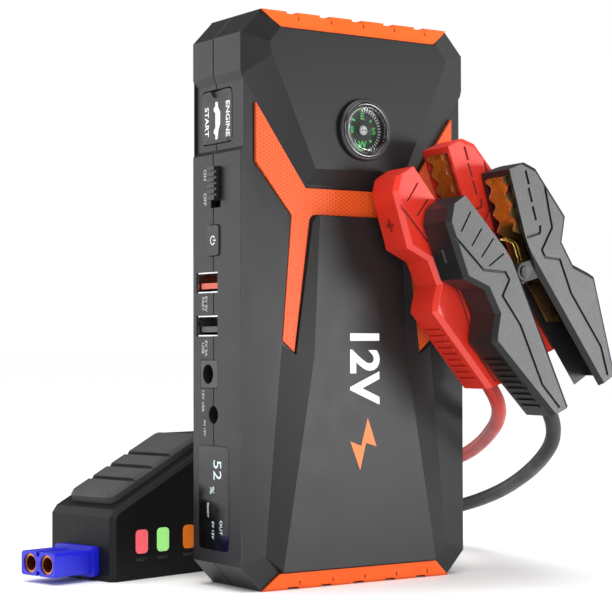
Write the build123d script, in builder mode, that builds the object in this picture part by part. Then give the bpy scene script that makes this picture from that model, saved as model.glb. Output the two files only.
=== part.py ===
from build123d import *
import math
import os

# Pocket jump starter pack: a slim upright power unit, its smart clamp module and two spring clamps.
# Frame: origin at the centre of the unit's base, +X to the right of the front face, +Y to the back, +Z up.
# All sizes are in millimetres.

# ---- power unit ----
unit_height = 187.0
unit_width = 90.4
half_width = unit_width / 2
band_half = 14.85          # the flat side band runs from -band_half to +band_half in Y
plateau = 17.8             # the raised front and rear panels stand out to this Y
inlay_face = 15.95         # front face of the orange inlay
inlay_gap = 0.3            # dark gap round the inlay
shoulder = 15.9            # the step in the front panel that the inlay lies on
seam = 1.9                 # front and rear cover meet on this Y plane
wall = 2.2
corner_x = 7.45            # end chamfers, across
corner_z = 8.03            # end chamfers, up
waist_depth = 1.25         # shallow recess in both narrow sides
ledge = 0.35               # fine step where the front facets meet the side band
edge_break = 0.3

# ---- orange end bumpers ----
bumper_height = 5.4
bumper_top_half = 31.6
bumper_end_half = half_width - corner_x
bumper_floor = 2.6
notch_pitch = 13.0
notch_width = 4.0
notch_depth = 0.7

# ---- compass ----
compass_x = 1.0
compass_z = 150.0
compass_radius = 10.2

# ---- ports on the left narrow side, each as (y, z) centre and (y, z) size ----
flap_centre = (1.6, 153.5)
flap_size = (18.8, 17.2)
switch_centre = (0.4, 130.3)
switch_size = (6.0, 13.4)
power_centre = (1.5, 112.95)
power_size = (6.8, 9.9)
usb_size = (13.4, 6.8)
usb_centres = {"usb_fast": (6.1, 99.3), "usb_standard": (6.1, 85.1)}
dc_out_centre = (4.75, 69.35)
dc_out_size = (11.1, 9.3)
dc_in_centre = (2.0, 56.1)
display_centre = (1.9, 29.1)
display_size = (18.8, 33.8)
port_depth = 14.0

# ---- smart clamp module, standing on its long edge behind the unit ----
module_corner = (-66.6, 31.4, 0.0)
module_turn = 12.65        # degrees from +X to the face with the lamps
module_length = 84.0
module_depth = 33.5
module_low = 21.5
module_high = 47.0
plug_size = (17.6, 8.0)
plug_reach = 18.0
plug_centre_height = 6.5
lead_radius = 2.55

# ---- clamps ----
clamp_width = 17.0
clamp_yaw = 8.0            # degrees, hinge axis turned from +Y towards +X
clamp_tilt = 28.5          # degrees, jaws leaning to the left of vertical
shell_wall = 1.6
pin_radius = 1.25
pin_play = 0.06

os.makedirs("parts", exist_ok=True)


def front_plane(y):
    """A plane that looks out of the front face, at this Y: sketch X is row X, sketch Y is row Z."""
    return Plane(origin=(0, y, 0), x_dir=(1, 0, 0), z_dir=(0, -1, 0))


def side_plane(x):
    """A plane across the unit at this X: sketch X is row Y, sketch Y is row Z."""
    return Plane(origin=(x, 0, 0), x_dir=(0, 1, 0), z_dir=(1, 0, 0))


def both_sides(points):
    """A half outline on the left, with its mirror image on the right."""
    return points + [(-x, z) for x, z in reversed(points)]


def outline(points):
    """A closed straight-sided face on the sketch that is open."""
    Polygon(*points, align=None)


def block(plane, centre, size, depth, mode=Mode.ADD, radius=0):
    """A straight block on a plane, with round corners where a radius is given."""
    with BuildSketch(plane) as section:
        with Locations(centre):
            if radius:
                RectangleRounded(size[0], size[1], radius)
            else:
                Rectangle(size[0], size[1])
    extrude(section.sketch, amount=depth, mode=mode)


def disc(plane, centre, radius, depth, mode=Mode.ADD):
    """A round plug on a plane."""
    with BuildSketch(plane) as section:
        with Locations(centre):
            Circle(radius)
    extrude(section.sketch, amount=depth, mode=mode)


def save(piece, name):
    """Label a finished piece and write its STEP file."""
    piece.label = name
    export_step(piece, f"parts/{name}.step")


# ---------------------------------------------------------------- outlines of the unit
side_x = half_width
waist_x = half_width - waist_depth
unit_outline = both_sides([
    (-bumper_end_half, 0),
    (-side_x, corner_z),
    (-side_x, 141.1),
    (-waist_x, 142.5),
    (-waist_x, 163.9),
    (-side_x, 166.7),
    (-side_x, unit_height - corner_z),
    (-bumper_end_half, unit_height),
])
cavity_outline = both_sides([
    (-36.4, 4.8),
    (-43.0, 11.8),
    (-43.0, 140.2),
    (-41.75, 141.6),
    (-41.75, 164.8),
    (-43.0, 167.6),
    (-43.0, unit_height - 11.8),
    (-36.4, unit_height - 4.8),
])
# the orange inlay: two arms up the sides, a band across under the compass, two legs down
inlay_outline = both_sides([
    (-25.4, 76.3),
    (-29.9, 80.2),
    (-26.3, 120.9),
    (-39.9, 137.6),
    (-39.9, 156.6),
    (-20.9, 129.9),
])
# its lower edge, closed below as the outline of what the inlay leaves open
inlay_lower_edge = [(-25.4, 76.3), (-19.2, 121.3), (19.2, 121.3), (25.4, 76.3), (25.4, 60.0), (-25.4, 60.0)]
# the strip beside the left leg where the panel is cleared down to the shoulder
leg_strip = [(-25.2, 75.6), (-35.0, 82.0), (-35.0, 121.3), (-17.2, 121.3), (-19.0, 118.6)]
screw_places = [(-33.0, 12.6), (33.0, 12.6), (-33.0, 174.4), (33.0, 174.4)]


# ---------------------------------------------------------------- end bumpers
with BuildPart() as bumper_blank:
    with BuildSketch(side_plane(-bumper_end_half)):
        outline([
            (-15.7, 0), (-16.9, bumper_height), (-14.6, bumper_height), (-13.6, bumper_floor),
            (13.6, bumper_floor), (14.6, bumper_height), (16.9, bumper_height), (15.7, 0),
        ])
    extrude(amount=2 * bumper_end_half)
    with BuildSketch(front_plane(20)):
        outline(both_sides([(-bumper_end_half, 0), (-bumper_top_half, bumper_height)]))
    extrude(amount=40, mode=Mode.INTERSECT)
top_blank = mirror(bumper_blank.part, about=Plane.XY.offset(unit_height / 2))

with BuildPart() as bottom_bumper:
    add(bumper_blank.part)
    for side in (-1, 1):
        for step in range(-2, 3):
            block(Plane.XY, (step * notch_pitch, side * 13.2), (notch_width, 9.0), notch_depth, Mode.SUBTRACT)
            block(Plane.XY, (step * notch_pitch + 2.3, side * 16.6), (0.7, 1.6), 2.6, Mode.SUBTRACT)
save(bottom_bumper.part, "bottom_bumper")

with BuildPart() as top_bumper:
    mirror(bottom_bumper.part, about=Plane.XY.offset(unit_height / 2))
save(top_bumper.part, "top_bumper")


# ---------------------------------------------------------------- orange inlay
with BuildPart() as front_inlay:
    with BuildSketch(front_plane(-14.5)):
        outline(inlay_outline)
        with BuildLine():
            FilletPolyline(*inlay_lower_edge, radius=2.6, close=True)
        make_face(mode=Mode.SUBTRACT)
    extrude(amount=inlay_face - 14.5)
save(front_inlay.part, "front_inlay")


# ---------------------------------------------------------------- engine start flap and its hinge pin
flap_face = -waist_x
flap_hinge = (-43.5, 145.5)


def hinge_rod(reach, radius, mode=Mode.ADD):
    """A round rod on the flap's hinge line, this far each way from the flap's middle."""
    rod_end = (flap_hinge[0], flap_centre[0] - reach, flap_hinge[1])
    rod_plane = Plane(origin=rod_end, x_dir=(1, 0, 0), z_dir=(0, 1, 0))
    disc(rod_plane, (0, 0), radius, 2 * reach, mode)


with BuildPart() as start_flap:
    block(side_plane(flap_face - 0.1), flap_centre, flap_size, 1.5, Mode.ADD, 2.0)
    hinge_rod(7.0, 0.8)
    hinge_rod(12.0, 0.46, Mode.SUBTRACT)
    # thumb notch in the upper edge
    disc(side_plane(flap_face - 1), (flap_centre[0] + 0.6, flap_centre[1] + 9.4), 3.2, 1.9, Mode.SUBTRACT)
save(start_flap.part, "start_flap")

with BuildPart() as start_flap_pin:
    hinge_rod(10.4, 0.4)
save(start_flap_pin.part, "start_flap_pin")


# ---------------------------------------------------------------- shared cuts in the left narrow side
def cut_left_side():
    """Openings for the flap, switch, button, sockets and display, cut through both covers."""
    skin = side_plane(-half_width - 1)
    block(skin, flap_centre, (19.2, 18.0), 1 + waist_depth + 1.7, Mode.SUBTRACT, 2.0)
    block(skin, flap_centre, (18.0, 8.6), 7, Mode.SUBTRACT)
    hinge_rod(10.4, 0.4, Mode.SUBTRACT)
    block(skin, switch_centre, switch_size, 5, Mode.SUBTRACT)
    block(skin, power_centre, (7.2, 10.3), 5, Mode.SUBTRACT, 1.2)
    for centre in usb_centres.values():
        block(skin, centre, usb_size, 16, Mode.SUBTRACT)
    block(skin, dc_out_centre, dc_out_size, 5, Mode.SUBTRACT)
    disc(skin, dc_in_centre, 2.9, 5, Mode.SUBTRACT)
    block(skin, display_centre, display_size, 2.2, Mode.SUBTRACT, 2.0)
    block(skin, display_centre, (14.0, 29.0), 5, Mode.SUBTRACT)


def cut_right_side():
    """Round-cornered window for the torch lens on the other narrow side."""
    block(side_plane(half_width + 1), (-0.5, 153.4), (14.0, 12.0), -6, Mode.SUBTRACT, 3.0)


# ---------------------------------------------------------------- front cover
lower_foot = both_sides([
    (-bumper_end_half + ledge, 0.2), (-side_x + ledge, corner_z), (-side_x + ledge, 79.0),
    (-side_x + ledge, 137.0),
])
lower_shoulder = both_sides([(-31.3, 5.4), (-37.0, 11.3), (-30.3, 79.8), (-26.2, 120.9)])
lower_facet = both_sides([(-31.1, 5.45), (-36.8, 11.3), (-30.2, 79.8), (-24.6, 121.3)])
lower_plateau = both_sides([(-30.3, 5.45), (-31.0, 6.1), (-18.8, 74.9), (-16.5, 121.3)])
upper_foot = both_sides([
    (-20.5, 130.3), (-side_x + ledge, 165.2), (-side_x + ledge, unit_height - corner_z),
    (-bumper_end_half + ledge, unit_height - 0.2),
])
upper_plateau = both_sides([(-18.2, 136.4), (-34.8, 172.4), (-36.0, 176.2), (-31.6, 181.5)])

with BuildPart() as front_cover:
    with BuildSketch(front_plane(seam)):
        outline(unit_outline)
    extrude(amount=seam + band_half)
    chamfer(front_cover.faces().sort_by(Axis.Y)[-1].edges(), edge_break)
    # lower field: dark side facets, then the lighter facets that rise to the plateau
    with BuildSketch(front_plane(-band_half)):
        outline(lower_foot)
    with BuildSketch(front_plane(-shoulder)):
        outline(lower_shoulder)
    loft(ruled=True)
    with BuildSketch(front_plane(-shoulder)):
        outline(lower_facet)
    with BuildSketch(front_plane(-plateau)):
        outline(lower_plateau)
    loft(ruled=True)
    # upper field, a trapezoid with bevelled sides that carries the compass
    with BuildSketch(front_plane(-band_half)):
        outline(upper_foot)
    with BuildSketch(front_plane(-plateau)):
        outline(upper_plateau)
    loft(ruled=True)
    # the panel stops short of both bumpers, whose front faces stay in view
    with BuildSketch(front_plane(-band_half - 0.15)):
        outline(both_sides([(-bumper_end_half - 1, unit_height + 1), (-31.6, 181.5)]))
    extrude(amount=5, mode=Mode.SUBTRACT)
    for z in (bumper_height + 0.2, unit_height - bumper_height - 0.2):
        block(front_plane(-16.3), (0, z), (62.4, 0.4), 3, Mode.SUBTRACT)
    # groove for the inlay: clear the leg strips down to the shoulder, then the pocket itself
    with BuildSketch(front_plane(-shoulder)):
        for side in (-1, 1):
            outline([(side * x, z) for x, z in leg_strip])
    extrude(amount=5, mode=Mode.SUBTRACT)
    with BuildSketch(front_plane(-15.0)):
        outline(inlay_outline)
        offset(amount=inlay_gap, kind=Kind.INTERSECTION)
        with BuildSketch(mode=Mode.SUBTRACT):
            with BuildLine():
                FilletPolyline(*inlay_lower_edge, radius=2.6, close=True)
            make_face()
            offset(amount=-inlay_gap)
    extrude(amount=5, mode=Mode.SUBTRACT)
    add(front_inlay.part, mode=Mode.SUBTRACT)
    # hollow inside, with a deeper pocket behind each raised panel
    with BuildSketch(front_plane(seam)):
        outline(cavity_outline)
    extrude(amount=seam + band_half - wall, mode=Mode.SUBTRACT)
    block(front_plane(-12), (0, 62), (40, 84), 3.4, Mode.SUBTRACT)
    block(front_plane(-12), (0, 172.5), (54, 12), 3.4, Mode.SUBTRACT)
    disc(front_plane(-8), (compass_x, compass_z), compass_radius + 1.1, 6.65)
    disc(front_plane(0), (compass_x, compass_z), compass_radius, 20, Mode.SUBTRACT)
    with BuildSketch(front_plane(seam)):
        with Locations(*screw_places):
            Circle(3.2)
    extrude(amount=seam + band_half - wall)
    with BuildSketch(front_plane(seam)):
        with Locations(*screw_places):
            Circle(1.2)
    extrude(amount=11, mode=Mode.SUBTRACT)
    cut_left_side()
    cut_right_side()
    add(bumper_blank.part, mode=Mode.SUBTRACT)
    add(top_blank, mode=Mode.SUBTRACT)
save(front_cover.part, "front_cover")


# ---------------------------------------------------------------- rear cover
rear_foot = both_sides([
    (-bumper_end_half + ledge, 0.2), (-side_x + ledge, corner_z), (-side_x + ledge, unit_height - corner_z),
    (-bumper_end_half + ledge, unit_height - 0.2),
])
rear_plateau = both_sides([(-31.3, 5.4), (-37.0, 11.3), (-37.0, unit_height - 11.3), (-31.3, unit_height - 5.4)])

with BuildPart() as rear_cover:
    with BuildSketch(front_plane(seam)):
        outline(unit_outline)
    extrude(amount=seam - band_half)
    chamfer(rear_cover.faces().sort_by(Axis.Y)[0].edges(), edge_break)
    with BuildSketch(front_plane(band_half)):
        outline(rear_foot)
    with BuildSketch(front_plane(plateau)):
        outline(rear_plateau)
    loft(ruled=True)
    with BuildSketch(front_plane(seam)):
        outline(cavity_outline)
    extrude(amount=seam - band_half + wall, mode=Mode.SUBTRACT)
    block(front_plane(12), (0, unit_height / 2), (60, 150), -3.4, Mode.SUBTRACT)
    with BuildSketch(front_plane(seam)):
        with Locations(*screw_places):
            Circle(3.2)
    extrude(amount=seam - band_half + wall)
    with BuildSketch(front_plane(seam)):
        with Locations(*screw_places):
            Circle(1.3)
    extrude(amount=-20, mode=Mode.SUBTRACT)
    with BuildSketch(front_plane(14.0)):
        with Locations(*screw_places):
            Circle(2.5)
    extrude(amount=-6, mode=Mode.SUBTRACT)
    # shallow grip ribs across the back
    for step in range(7):
        block(front_plane(plateau), (0, 40 + 6 * step), (44, 1.2), 0.5, Mode.SUBTRACT)
    cut_left_side()
    cut_right_side()
    add(bumper_blank.part, mode=Mode.SUBTRACT)
    add(top_blank, mode=Mode.SUBTRACT)
save(rear_cover.part, "rear_cover")

with BuildPart() as cover_screws:
    with BuildSketch(front_plane(14.0)):
        with Locations(*screw_places):
            Circle(2.3)
    extrude(amount=-1.6)
    with BuildSketch(front_plane(14.0)):
        with Locations(*screw_places):
            Circle(1.2)
    extrude(amount=21)
    for x, z in screw_places:
        block(front_plane(15.6), (x, z), (2.6, 0.6), 0.8, Mode.SUBTRACT)
        block(front_plane(15.6), (x, z), (0.6, 2.6), 0.8, Mode.SUBTRACT)
save(cover_screws.part, "cover_screws")


# ---------------------------------------------------------------- compass
compass_at = (compass_x, compass_z)
bezel_radius = 9.3
lens_radius = 8.0
with BuildPart() as compass_housing:
    disc(front_plane(-9.2), compass_at, compass_radius, 10.6)
    disc(front_plane(-13.0), compass_at, bezel_radius, 8.0, Mode.SUBTRACT)
    chamfer(compass_housing.faces().sort_by(Axis.Y)[0].edges().sort_by(SortBy.RADIUS)[-1], 0.4)
save(compass_housing.part, "compass_housing")

with BuildPart() as compass_bezel:
    disc(front_plane(-17.2), compass_at, bezel_radius, 3.2)
    disc(front_plane(-17.2), compass_at, lens_radius, 3.2, Mode.SUBTRACT)
    fillet(compass_bezel.faces().sort_by(Axis.Y)[0].edges(), 0.5)
save(compass_bezel.part, "compass_bezel")

with BuildPart() as compass_lens:
    disc(front_plane(-18.0), compass_at, lens_radius, 2.6)
    fillet(compass_lens.faces().sort_by(Axis.Y)[0].edges(), 1.4)
save(compass_lens.part, "compass_lens")

with BuildPart() as compass_card:
    disc(front_plane(-15.6), compass_at, 7.7, 0.6)
    disc(front_plane(-14.4), compass_at, 1.7, 2.4)
    block(front_plane(-14.6), compass_at, (10.0, 2.4), 1.0)
    disc(front_plane(-14.4), compass_at, 0.56, 1.7, Mode.SUBTRACT)
save(compass_card.part, "compass_card")

with BuildPart() as compass_pivot:
    disc(front_plane(-13.0), compass_at, 1.2, 0.9)
    disc(front_plane(-13.0), compass_at, 0.5, 2.9)
save(compass_pivot.part, "compass_pivot")


# ---------------------------------------------------------------- engine start socket
socket_face = side_plane(flap_face + 2.5)
contact_places = [(flap_centre[0] - 4.4, flap_centre[1]), (flap_centre[0] + 4.4, flap_centre[1])]
with BuildPart() as start_socket:
    block(socket_face, flap_centre, (20.0, 10.6), 17.0)
    block(socket_face, flap_centre, (18.0, 8.5), 14.0, Mode.SUBTRACT)
save(start_socket.part, "start_socket")

with BuildPart() as start_socket_contacts:
    with BuildSketch(side_plane(flap_face + 8.0)):
        with Locations(*contact_places):
            Circle(2.4)
    extrude(amount=8.5)
    chamfer(start_socket_contacts.faces().sort_by(Axis.X)[:2].edges(), 0.6)
save(start_socket_contacts.part, "start_socket_contacts")


# ---------------------------------------------------------------- switch and power button
outer_skin = -half_width
with BuildPart() as slide_knob:
    block(side_plane(outer_skin - 2.3), (0.1, 131.4), (4.6, 10.8), 5.0)
    for step in range(5):
        block(side_plane(outer_skin - 2.4), (0.1, 127.6 + 1.9 * step), (4.8, 0.9), 1.0, Mode.SUBTRACT)
save(slide_knob.part, "slide_knob")

with BuildPart() as slide_switch_body:
    block(side_plane(outer_skin + 2.9), (0.4, 130.3), (6.4, 17.0), 5.6)
save(slide_switch_body.part, "slide_switch_body")

with BuildPart() as power_button:
    block(side_plane(outer_skin - 0.5), power_centre, power_size, 2.9, Mode.ADD, 1.1)
    block(side_plane(outer_skin + 2.35), power_centre, (7.8, 11.0), 0.6)
    disc(side_plane(outer_skin + 2.35), power_centre, 1.2, 1.35)
save(power_button.part, "power_button")

with BuildPart() as power_switch:
    block(side_plane(outer_skin + 5.1), power_centre, (6.0, 6.0), 3.6)
    disc(side_plane(outer_skin + 4.55), power_centre, 1.6, 0.6)
save(power_switch.part, "power_switch")


# ---------------------------------------------------------------- USB sockets
for name, (y, z) in usb_centres.items():
    with BuildPart() as usb_shell:
        block(side_plane(outer_skin + 0.4), (y, z), (13.4, 6.8), port_depth)
        block(side_plane(outer_skin + 0.4), (y, z), (12.5, 5.9), port_depth, Mode.SUBTRACT)
    save(usb_shell.part, name + "_shell")
    with BuildPart() as usb_tongue:
        block(side_plane(outer_skin + 1.2), (y, z - 1.1), (10.8, 1.9), 10.0)
        block(side_plane(outer_skin + 11.0), (y, z), (12.5, 5.9), 3.2)
    save(usb_tongue.part, name + "_tongue")


# ---------------------------------------------------------------- DC sockets
with BuildPart() as dc_out_jack:
    block(side_plane(outer_skin), dc_out_centre, (10.8, 9.0), 12.5)
    disc(side_plane(outer_skin), (5.4, dc_out_centre[1]), 3.2, 10.5, Mode.SUBTRACT)
save(dc_out_jack.part, "dc_out_jack")

with BuildPart() as dc_in_jack:
    block(side_plane(outer_skin + 2.3), dc_in_centre, (8.4, 9.0), 11.5)
    disc(side_plane(outer_skin + 2.3), dc_in_centre, 2.8, 9.5, Mode.SUBTRACT)
save(dc_in_jack.part, "dc_in_jack")

with BuildPart() as dc_pins:
    disc(side_plane(outer_skin + 2.5), (5.4, dc_out_centre[1]), 1.0, 8.0)
    disc(side_plane(outer_skin + 4.0), dc_in_centre, 0.7, 7.8)
save(dc_pins.part, "dc_pins")


# ---------------------------------------------------------------- display
with BuildPart() as display_window:
    block(side_plane(outer_skin - 0.05), display_centre, (18.6, 33.6), 1.25, Mode.ADD, 1.9)
    block(side_plane(outer_skin + 1.2), display_centre, (13.8, 28.8), 0.6)
save(display_window.part, "display_window")

with BuildPart() as display_module:
    block(side_plane(outer_skin + 2.4), display_centre, (18.0, 31.0), 2.4)
save(display_module.part, "display_module")


# ---------------------------------------------------------------- electronics and cells
board_front = -4.6
with BuildPart() as main_board:
    with BuildSketch(front_plane(board_front + 1.4)):
        with Locations((-31.0, 96.5)):
            Rectangle(16.0, 97.0)
    extrude(amount=1.4)
save(main_board.part, "main_board")

cell_thickness = 7.2
with BuildPart() as battery_cells:
    for step in range(3):
        block(front_plane(11.6 - step * 7.6), (10.0, 80.0), (60.0, 112.0), cell_thickness, Mode.ADD, 2.0)
save(battery_cells.part, "battery_cells")


# ---------------------------------------------------------------- torch in the right narrow side
torch_centre = (-0.5, 153.4)
with BuildPart() as torch_lens:
    with BuildSketch(side_plane(waist_x + 0.1)):
        with Locations(torch_centre):
            RectangleRounded(13.8, 11.8, 2.9)
    extrude(amount=-2.0)
    fillet(torch_lens.faces().sort_by(Axis.X)[-1].edges(), 0.5)
save(torch_lens.part, "torch_lens")

with BuildPart() as torch_reflector:
    block(side_plane(waist_x - 10.0), torch_centre, (13.0, 11.0), 7.7)
    with BuildSketch(side_plane(waist_x - 2.3)):
        with Locations(torch_centre):
            Circle(5.0)
    with BuildSketch(side_plane(waist_x - 9.0)):
        with Locations(torch_centre):
            Circle(1.6)
    loft(mode=Mode.SUBTRACT)
save(torch_reflector.part, "torch_reflector")


# ---------------------------------------------------------------- smart clamp module
turn = math.radians(module_turn)
along = Vector(math.cos(turn), math.sin(turn), 0)      # along the face with the lamps
inward = Vector(-math.sin(turn), math.cos(turn), 0)    # away from that face
corner = Vector(*module_corner)


def module_face(inset):
    """A plane parallel to the face with the lamps: sketch X runs along it, sketch Y is up."""
    return Plane(origin=corner + inward * inset, x_dir=along, z_dir=inward * -1)


def module_end(distance):
    """A plane across the module: sketch X runs away from the face with the lamps, sketch Y is up."""
    return Plane(origin=corner + along * distance, x_dir=inward, z_dir=along)


module_profile = [(0, 0), (module_length, 0), (module_length, module_high), (51, module_high), (2, 24),
                  (0, module_low)]
hollow_profile = [(2, 2), (module_length - 2, 2), (module_length - 2, module_high - 2), (51.4, module_high - 2),
                  (2.6, 22.0), (2, 21.4)]
lamp_places = {"red": 12.7, "green": 22.3, "amber": 34.3}
lamp_height = 12.7
mid_depth = module_depth / 2


def module_shell(first, last, open_side):
    """One half of the module's case, between two depths, hollow towards the seam."""
    with BuildPart() as shell:
        with BuildSketch(module_face(last)):
            outline(module_profile)
        extrude(amount=last - first)
        outer = shell.faces().sort_by(Axis(tuple(corner), tuple(inward)))[-1 if open_side < 0 else 0]
        chamfer(outer.edges().sort_by(Axis.Z)[1:], 1.6)
        depth = last - first - 2
        start = last if open_side > 0 else first + depth
        with BuildSketch(module_face(start)):
            outline(hollow_profile)
        extrude(amount=depth, mode=Mode.SUBTRACT)
        # way through for the plug at the low end and for the lead sleeves at the high end
        block(module_end(-1), (mid_depth, plug_centre_height), (14.0, 7.0), 4, Mode.SUBTRACT)
        disc(module_end(module_length - 3), (11.0, 20.0), 3.6, 5, Mode.SUBTRACT)
        disc(module_end(module_length - 3), (23.0, 9.0), 3.6, 5, Mode.SUBTRACT)
    return shell.part


front_half = module_shell(0, mid_depth, 1)
with BuildPart() as module_front_shell:
    add(front_half)
    for place in lamp_places.values():
        block(module_face(3), (place, lamp_height), (5.2, 8.0), 4, Mode.SUBTRACT, 1.5)
save(module_front_shell.part, "module_front_shell")

with BuildPart() as module_rear_shell:
    add(module_shell(mid_depth, module_depth, -1))
save(module_rear_shell.part, "module_rear_shell")

for colour, place in lamp_places.items():
    with BuildPart() as lamp:
        block(module_face(2.0), (place, lamp_height), (5.2, 8.0), 2.4, Mode.ADD, 1.5)
        block(module_face(2.8), (place, lamp_height), (6.4, 9.2), 0.8, Mode.ADD, 2.1)
    save(lamp.part, f"module_lamp_{colour}")

slope = math.atan2(module_high - 24, 51 - 2)
slope_x = along * math.cos(slope) + Vector(0, 0, math.sin(slope))
slope_z = Vector(0, 0, math.cos(slope)) - along * math.sin(slope)
slope_plane = Plane(origin=corner + along * 2 + Vector(0, 0, 24), x_dir=slope_x, z_dir=slope_z)
with BuildPart() as module_grip_pad:
    with BuildSketch(slope_plane):
        with Locations((26.0, 16.6)):
            RectangleRounded(46.0, 23.0, 3.0)
    extrude(amount=3.6)
    chamfer(module_grip_pad.faces().sort_by(Axis(tuple(slope_plane.origin), tuple(slope_z)))[-1].edges(), 1.2)
    for step in range(3):
        with BuildSketch(slope_plane.offset(2.4)):
            with Locations((14.0 + 9.0 * step, 16.6)):
                Rectangle(2.4, 30.0)
        extrude(amount=3, mode=Mode.SUBTRACT)
save(module_grip_pad.part, "module_grip_pad")

with BuildPart() as module_board:
    block(module_face(mid_depth + 5.0), (44.0, 12.0), (64.0, 14.0), 1.6)
save(module_board.part, "module_board")

socket_places = [(mid_depth - 4.4, plug_centre_height), (mid_depth + 4.4, plug_centre_height)]
with BuildPart() as plug_body:
    block(module_end(-plug_reach), (mid_depth, plug_centre_height), plug_size, plug_reach - 3.0, Mode.ADD, 1.2)
    block(module_end(-3.0), (mid_depth, plug_centre_height), (20.0, 10.0), 3.0, Mode.ADD, 1.6)
    block(module_end(0), (mid_depth, plug_centre_height), (14.0, 7.0), 10.0)
    # waist between the two barrels, above and below
    for height in (plug_centre_height - plug_size[1] / 2, plug_centre_height + plug_size[1] / 2):
        block(module_end(-plug_reach - 1), (mid_depth, height), (1.6, 3.0), plug_reach - 4.0, Mode.SUBTRACT)
    with BuildSketch(module_end(-plug_reach)):
        with Locations(*socket_places):
            Circle(3.3)
    extrude(amount=14.0, mode=Mode.SUBTRACT)
save(plug_body.part, "plug_body")

with BuildPart() as plug_contacts:
    with BuildSketch(module_end(-plug_reach + 0.6)):
        with Locations(*socket_places):
            Circle(3.3)
    extrude(amount=13.4)
    with BuildSketch(module_end(-plug_reach + 0.6)):
        with Locations(*socket_places):
            Circle(2.5)
    extrude(amount=11.0, mode=Mode.SUBTRACT)
save(plug_contacts.part, "plug_contacts")


# ---------------------------------------------------------------- leads and their sleeves
# Each route runs from the sleeve on the module to the crimp inside the clamp's fixed handle.
red_route = [
    (26.1, 63.5, 20.0), (41.0, 66.9, 19.4), (60.0, 67.5, 22.0), (78.0, 57.5, 28.5), (86.3, 36.0, 36.2),
    (76.5, 14.5, 41.6), (65.5, -5.0, 47.0), (55.6, -21.5, 52.4), (48.0, -31.2, 58.4), (41.4, -33.6, 65.4),
    (36.0, -32.5, 73.0),
]
black_route = [
    (23.5, 75.2, 9.0), (40.0, 79.1, 8.2), (62.0, 81.0, 6.6), (83.0, 72.0, 9.4), (95.1, 49.0, 15.6),
    (89.5, 20.0, 22.8), (77.5, -9.0, 31.2), (65.8, -33.0, 39.6), (59.0, -46.8, 47.6), (52.4, -52.2, 56.6),
    (46.2, -51.8, 64.6),
]


def corner_radii(points):
    """The largest tangent arc that each corner's two runs leave room for."""
    radii = []
    for before, here, after in zip(points, points[1:], points[2:]):
        run_in = Vector(*here) - Vector(*before)
        run_out = Vector(*after) - Vector(*here)
        half_turn = math.radians(run_in.get_angle(run_out)) / 2
        radii.append(0.45 * min(run_in.length, run_out.length) / math.tan(half_turn))
    return radii


def make_lead(points, name):
    """One insulated lead: straight runs joined by tangent arcs, swept with its round section."""
    radii = corner_radii(points)
    start = Vector(*points[0])
    with BuildPart() as lead:
        with BuildLine() as path:
            FilletPolyline(*points, radius=radii)
        with BuildSketch(Plane(origin=start, z_dir=Vector(*points[1]) - start)):
            Circle(lead_radius)
        sweep(path=path.wires()[0])
    length = path.wires()[0].length
    section = math.pi * lead_radius ** 2
    print(name, "length", round(length, 1), "radii", [round(r) for r in radii],
          "volume ratio", round(lead.part.volume / (section * length), 4))
    save(lead.part, name)


make_lead(red_route, "red_lead")
make_lead(black_route, "black_lead")


def make_sleeve(place, name):
    """A tapered rubber sleeve on the module's far end, with a flange inside the wall."""
    with BuildPart() as sleeve:
        with BuildSketch(module_end(module_length)):
            with Locations(place):
                Circle(4.6)
        with BuildSketch(module_end(module_length + 14)):
            with Locations(place):
                Circle(3.3)
        loft()
        disc(module_end(module_length - 2), place, 3.6, 2.0)
        disc(module_end(module_length - 4), place, 5.0, 2.0)
        for step in range(3):
            with BuildSketch(module_end(module_length + 3.5 + 3.2 * step)):
                with Locations(place):
                    Circle(6.0)
                    Circle(3.2, mode=Mode.SUBTRACT)
            extrude(amount=1.2, mode=Mode.SUBTRACT)
    save(sleeve.part, name)


make_sleeve((11.0, 20.0), "red_lead_sleeve")
make_sleeve((23.0, 9.0), "black_lead_sleeve")


# ---------------------------------------------------------------- clamps
yaw = math.radians(clamp_yaw)
tilt = math.radians(clamp_tilt)
across = Vector(math.cos(yaw), -math.sin(yaw), 0)
hinge_axis = Vector(math.sin(yaw), math.cos(yaw), 0)
opening_dir = across * math.cos(tilt) + Vector(0, 0, math.sin(tilt))
jaw_dir = Vector(0, 0, math.cos(tilt)) - across * math.sin(tilt)

# Half of a closed clamp: the pivot is at (0, 0), the jaw points up, the half lies at positive X.
shell_outline = [
    (1.9, 33.6), (1.9, 10.9), (3.6, -1.6), (17.2, -43.4), (24.4, -41.2), (25.2, -8.4), (23.2, -6.4),
    (18.2, -2.4), (16.0, 5.8), (19.6, 13.6), (12.6, 31.4), (8.8, 34.4),
]
hollow_outline = [
    (-1.0, 31.6), (-1.0, 10.9), (1.0, -2.4), (13.5, -46.0), (22.6, -46.0), (23.4, -9.2), (21.9, -7.9),
    (16.3, -3.0), (14.1, 5.8), (17.6, 13.4), (11.3, 30.3), (9.0, 31.6),
]
groove_line = [
    (14.0, 31.2), (12.7, 11.5), (6.9, 5.5), (7.4, 2.8), (12.8, 0.6), (14.0, -11.0), (20.6, -31.0), (20.6, -40.8),
]
fixed_slits = [((4.0, 28.4), (10.8, 25.9)), ((4.3, 21.8), (10.8, 20.0)), ((3.0, 16.6), (10.4, 15.0)),
               ((3.3, 10.4), (10.2, 11.0))]
moving_slits = [((7.8, 31.8), (7.8, 27.2)), ((7.4, 26.1), (7.4, 21.3)), ((7.3, 20.0), (7.3, 15.3)),
                ((8.4, 13.3), (7.7, 10.9)), ((7.7, 10.9), (2.4, 10.8))]
gripping_edge = [(1.15 - 0.85 * math.cos(math.tau * step / 8), 31.0 - 0.72 * step) for step in range(25)]
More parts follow.
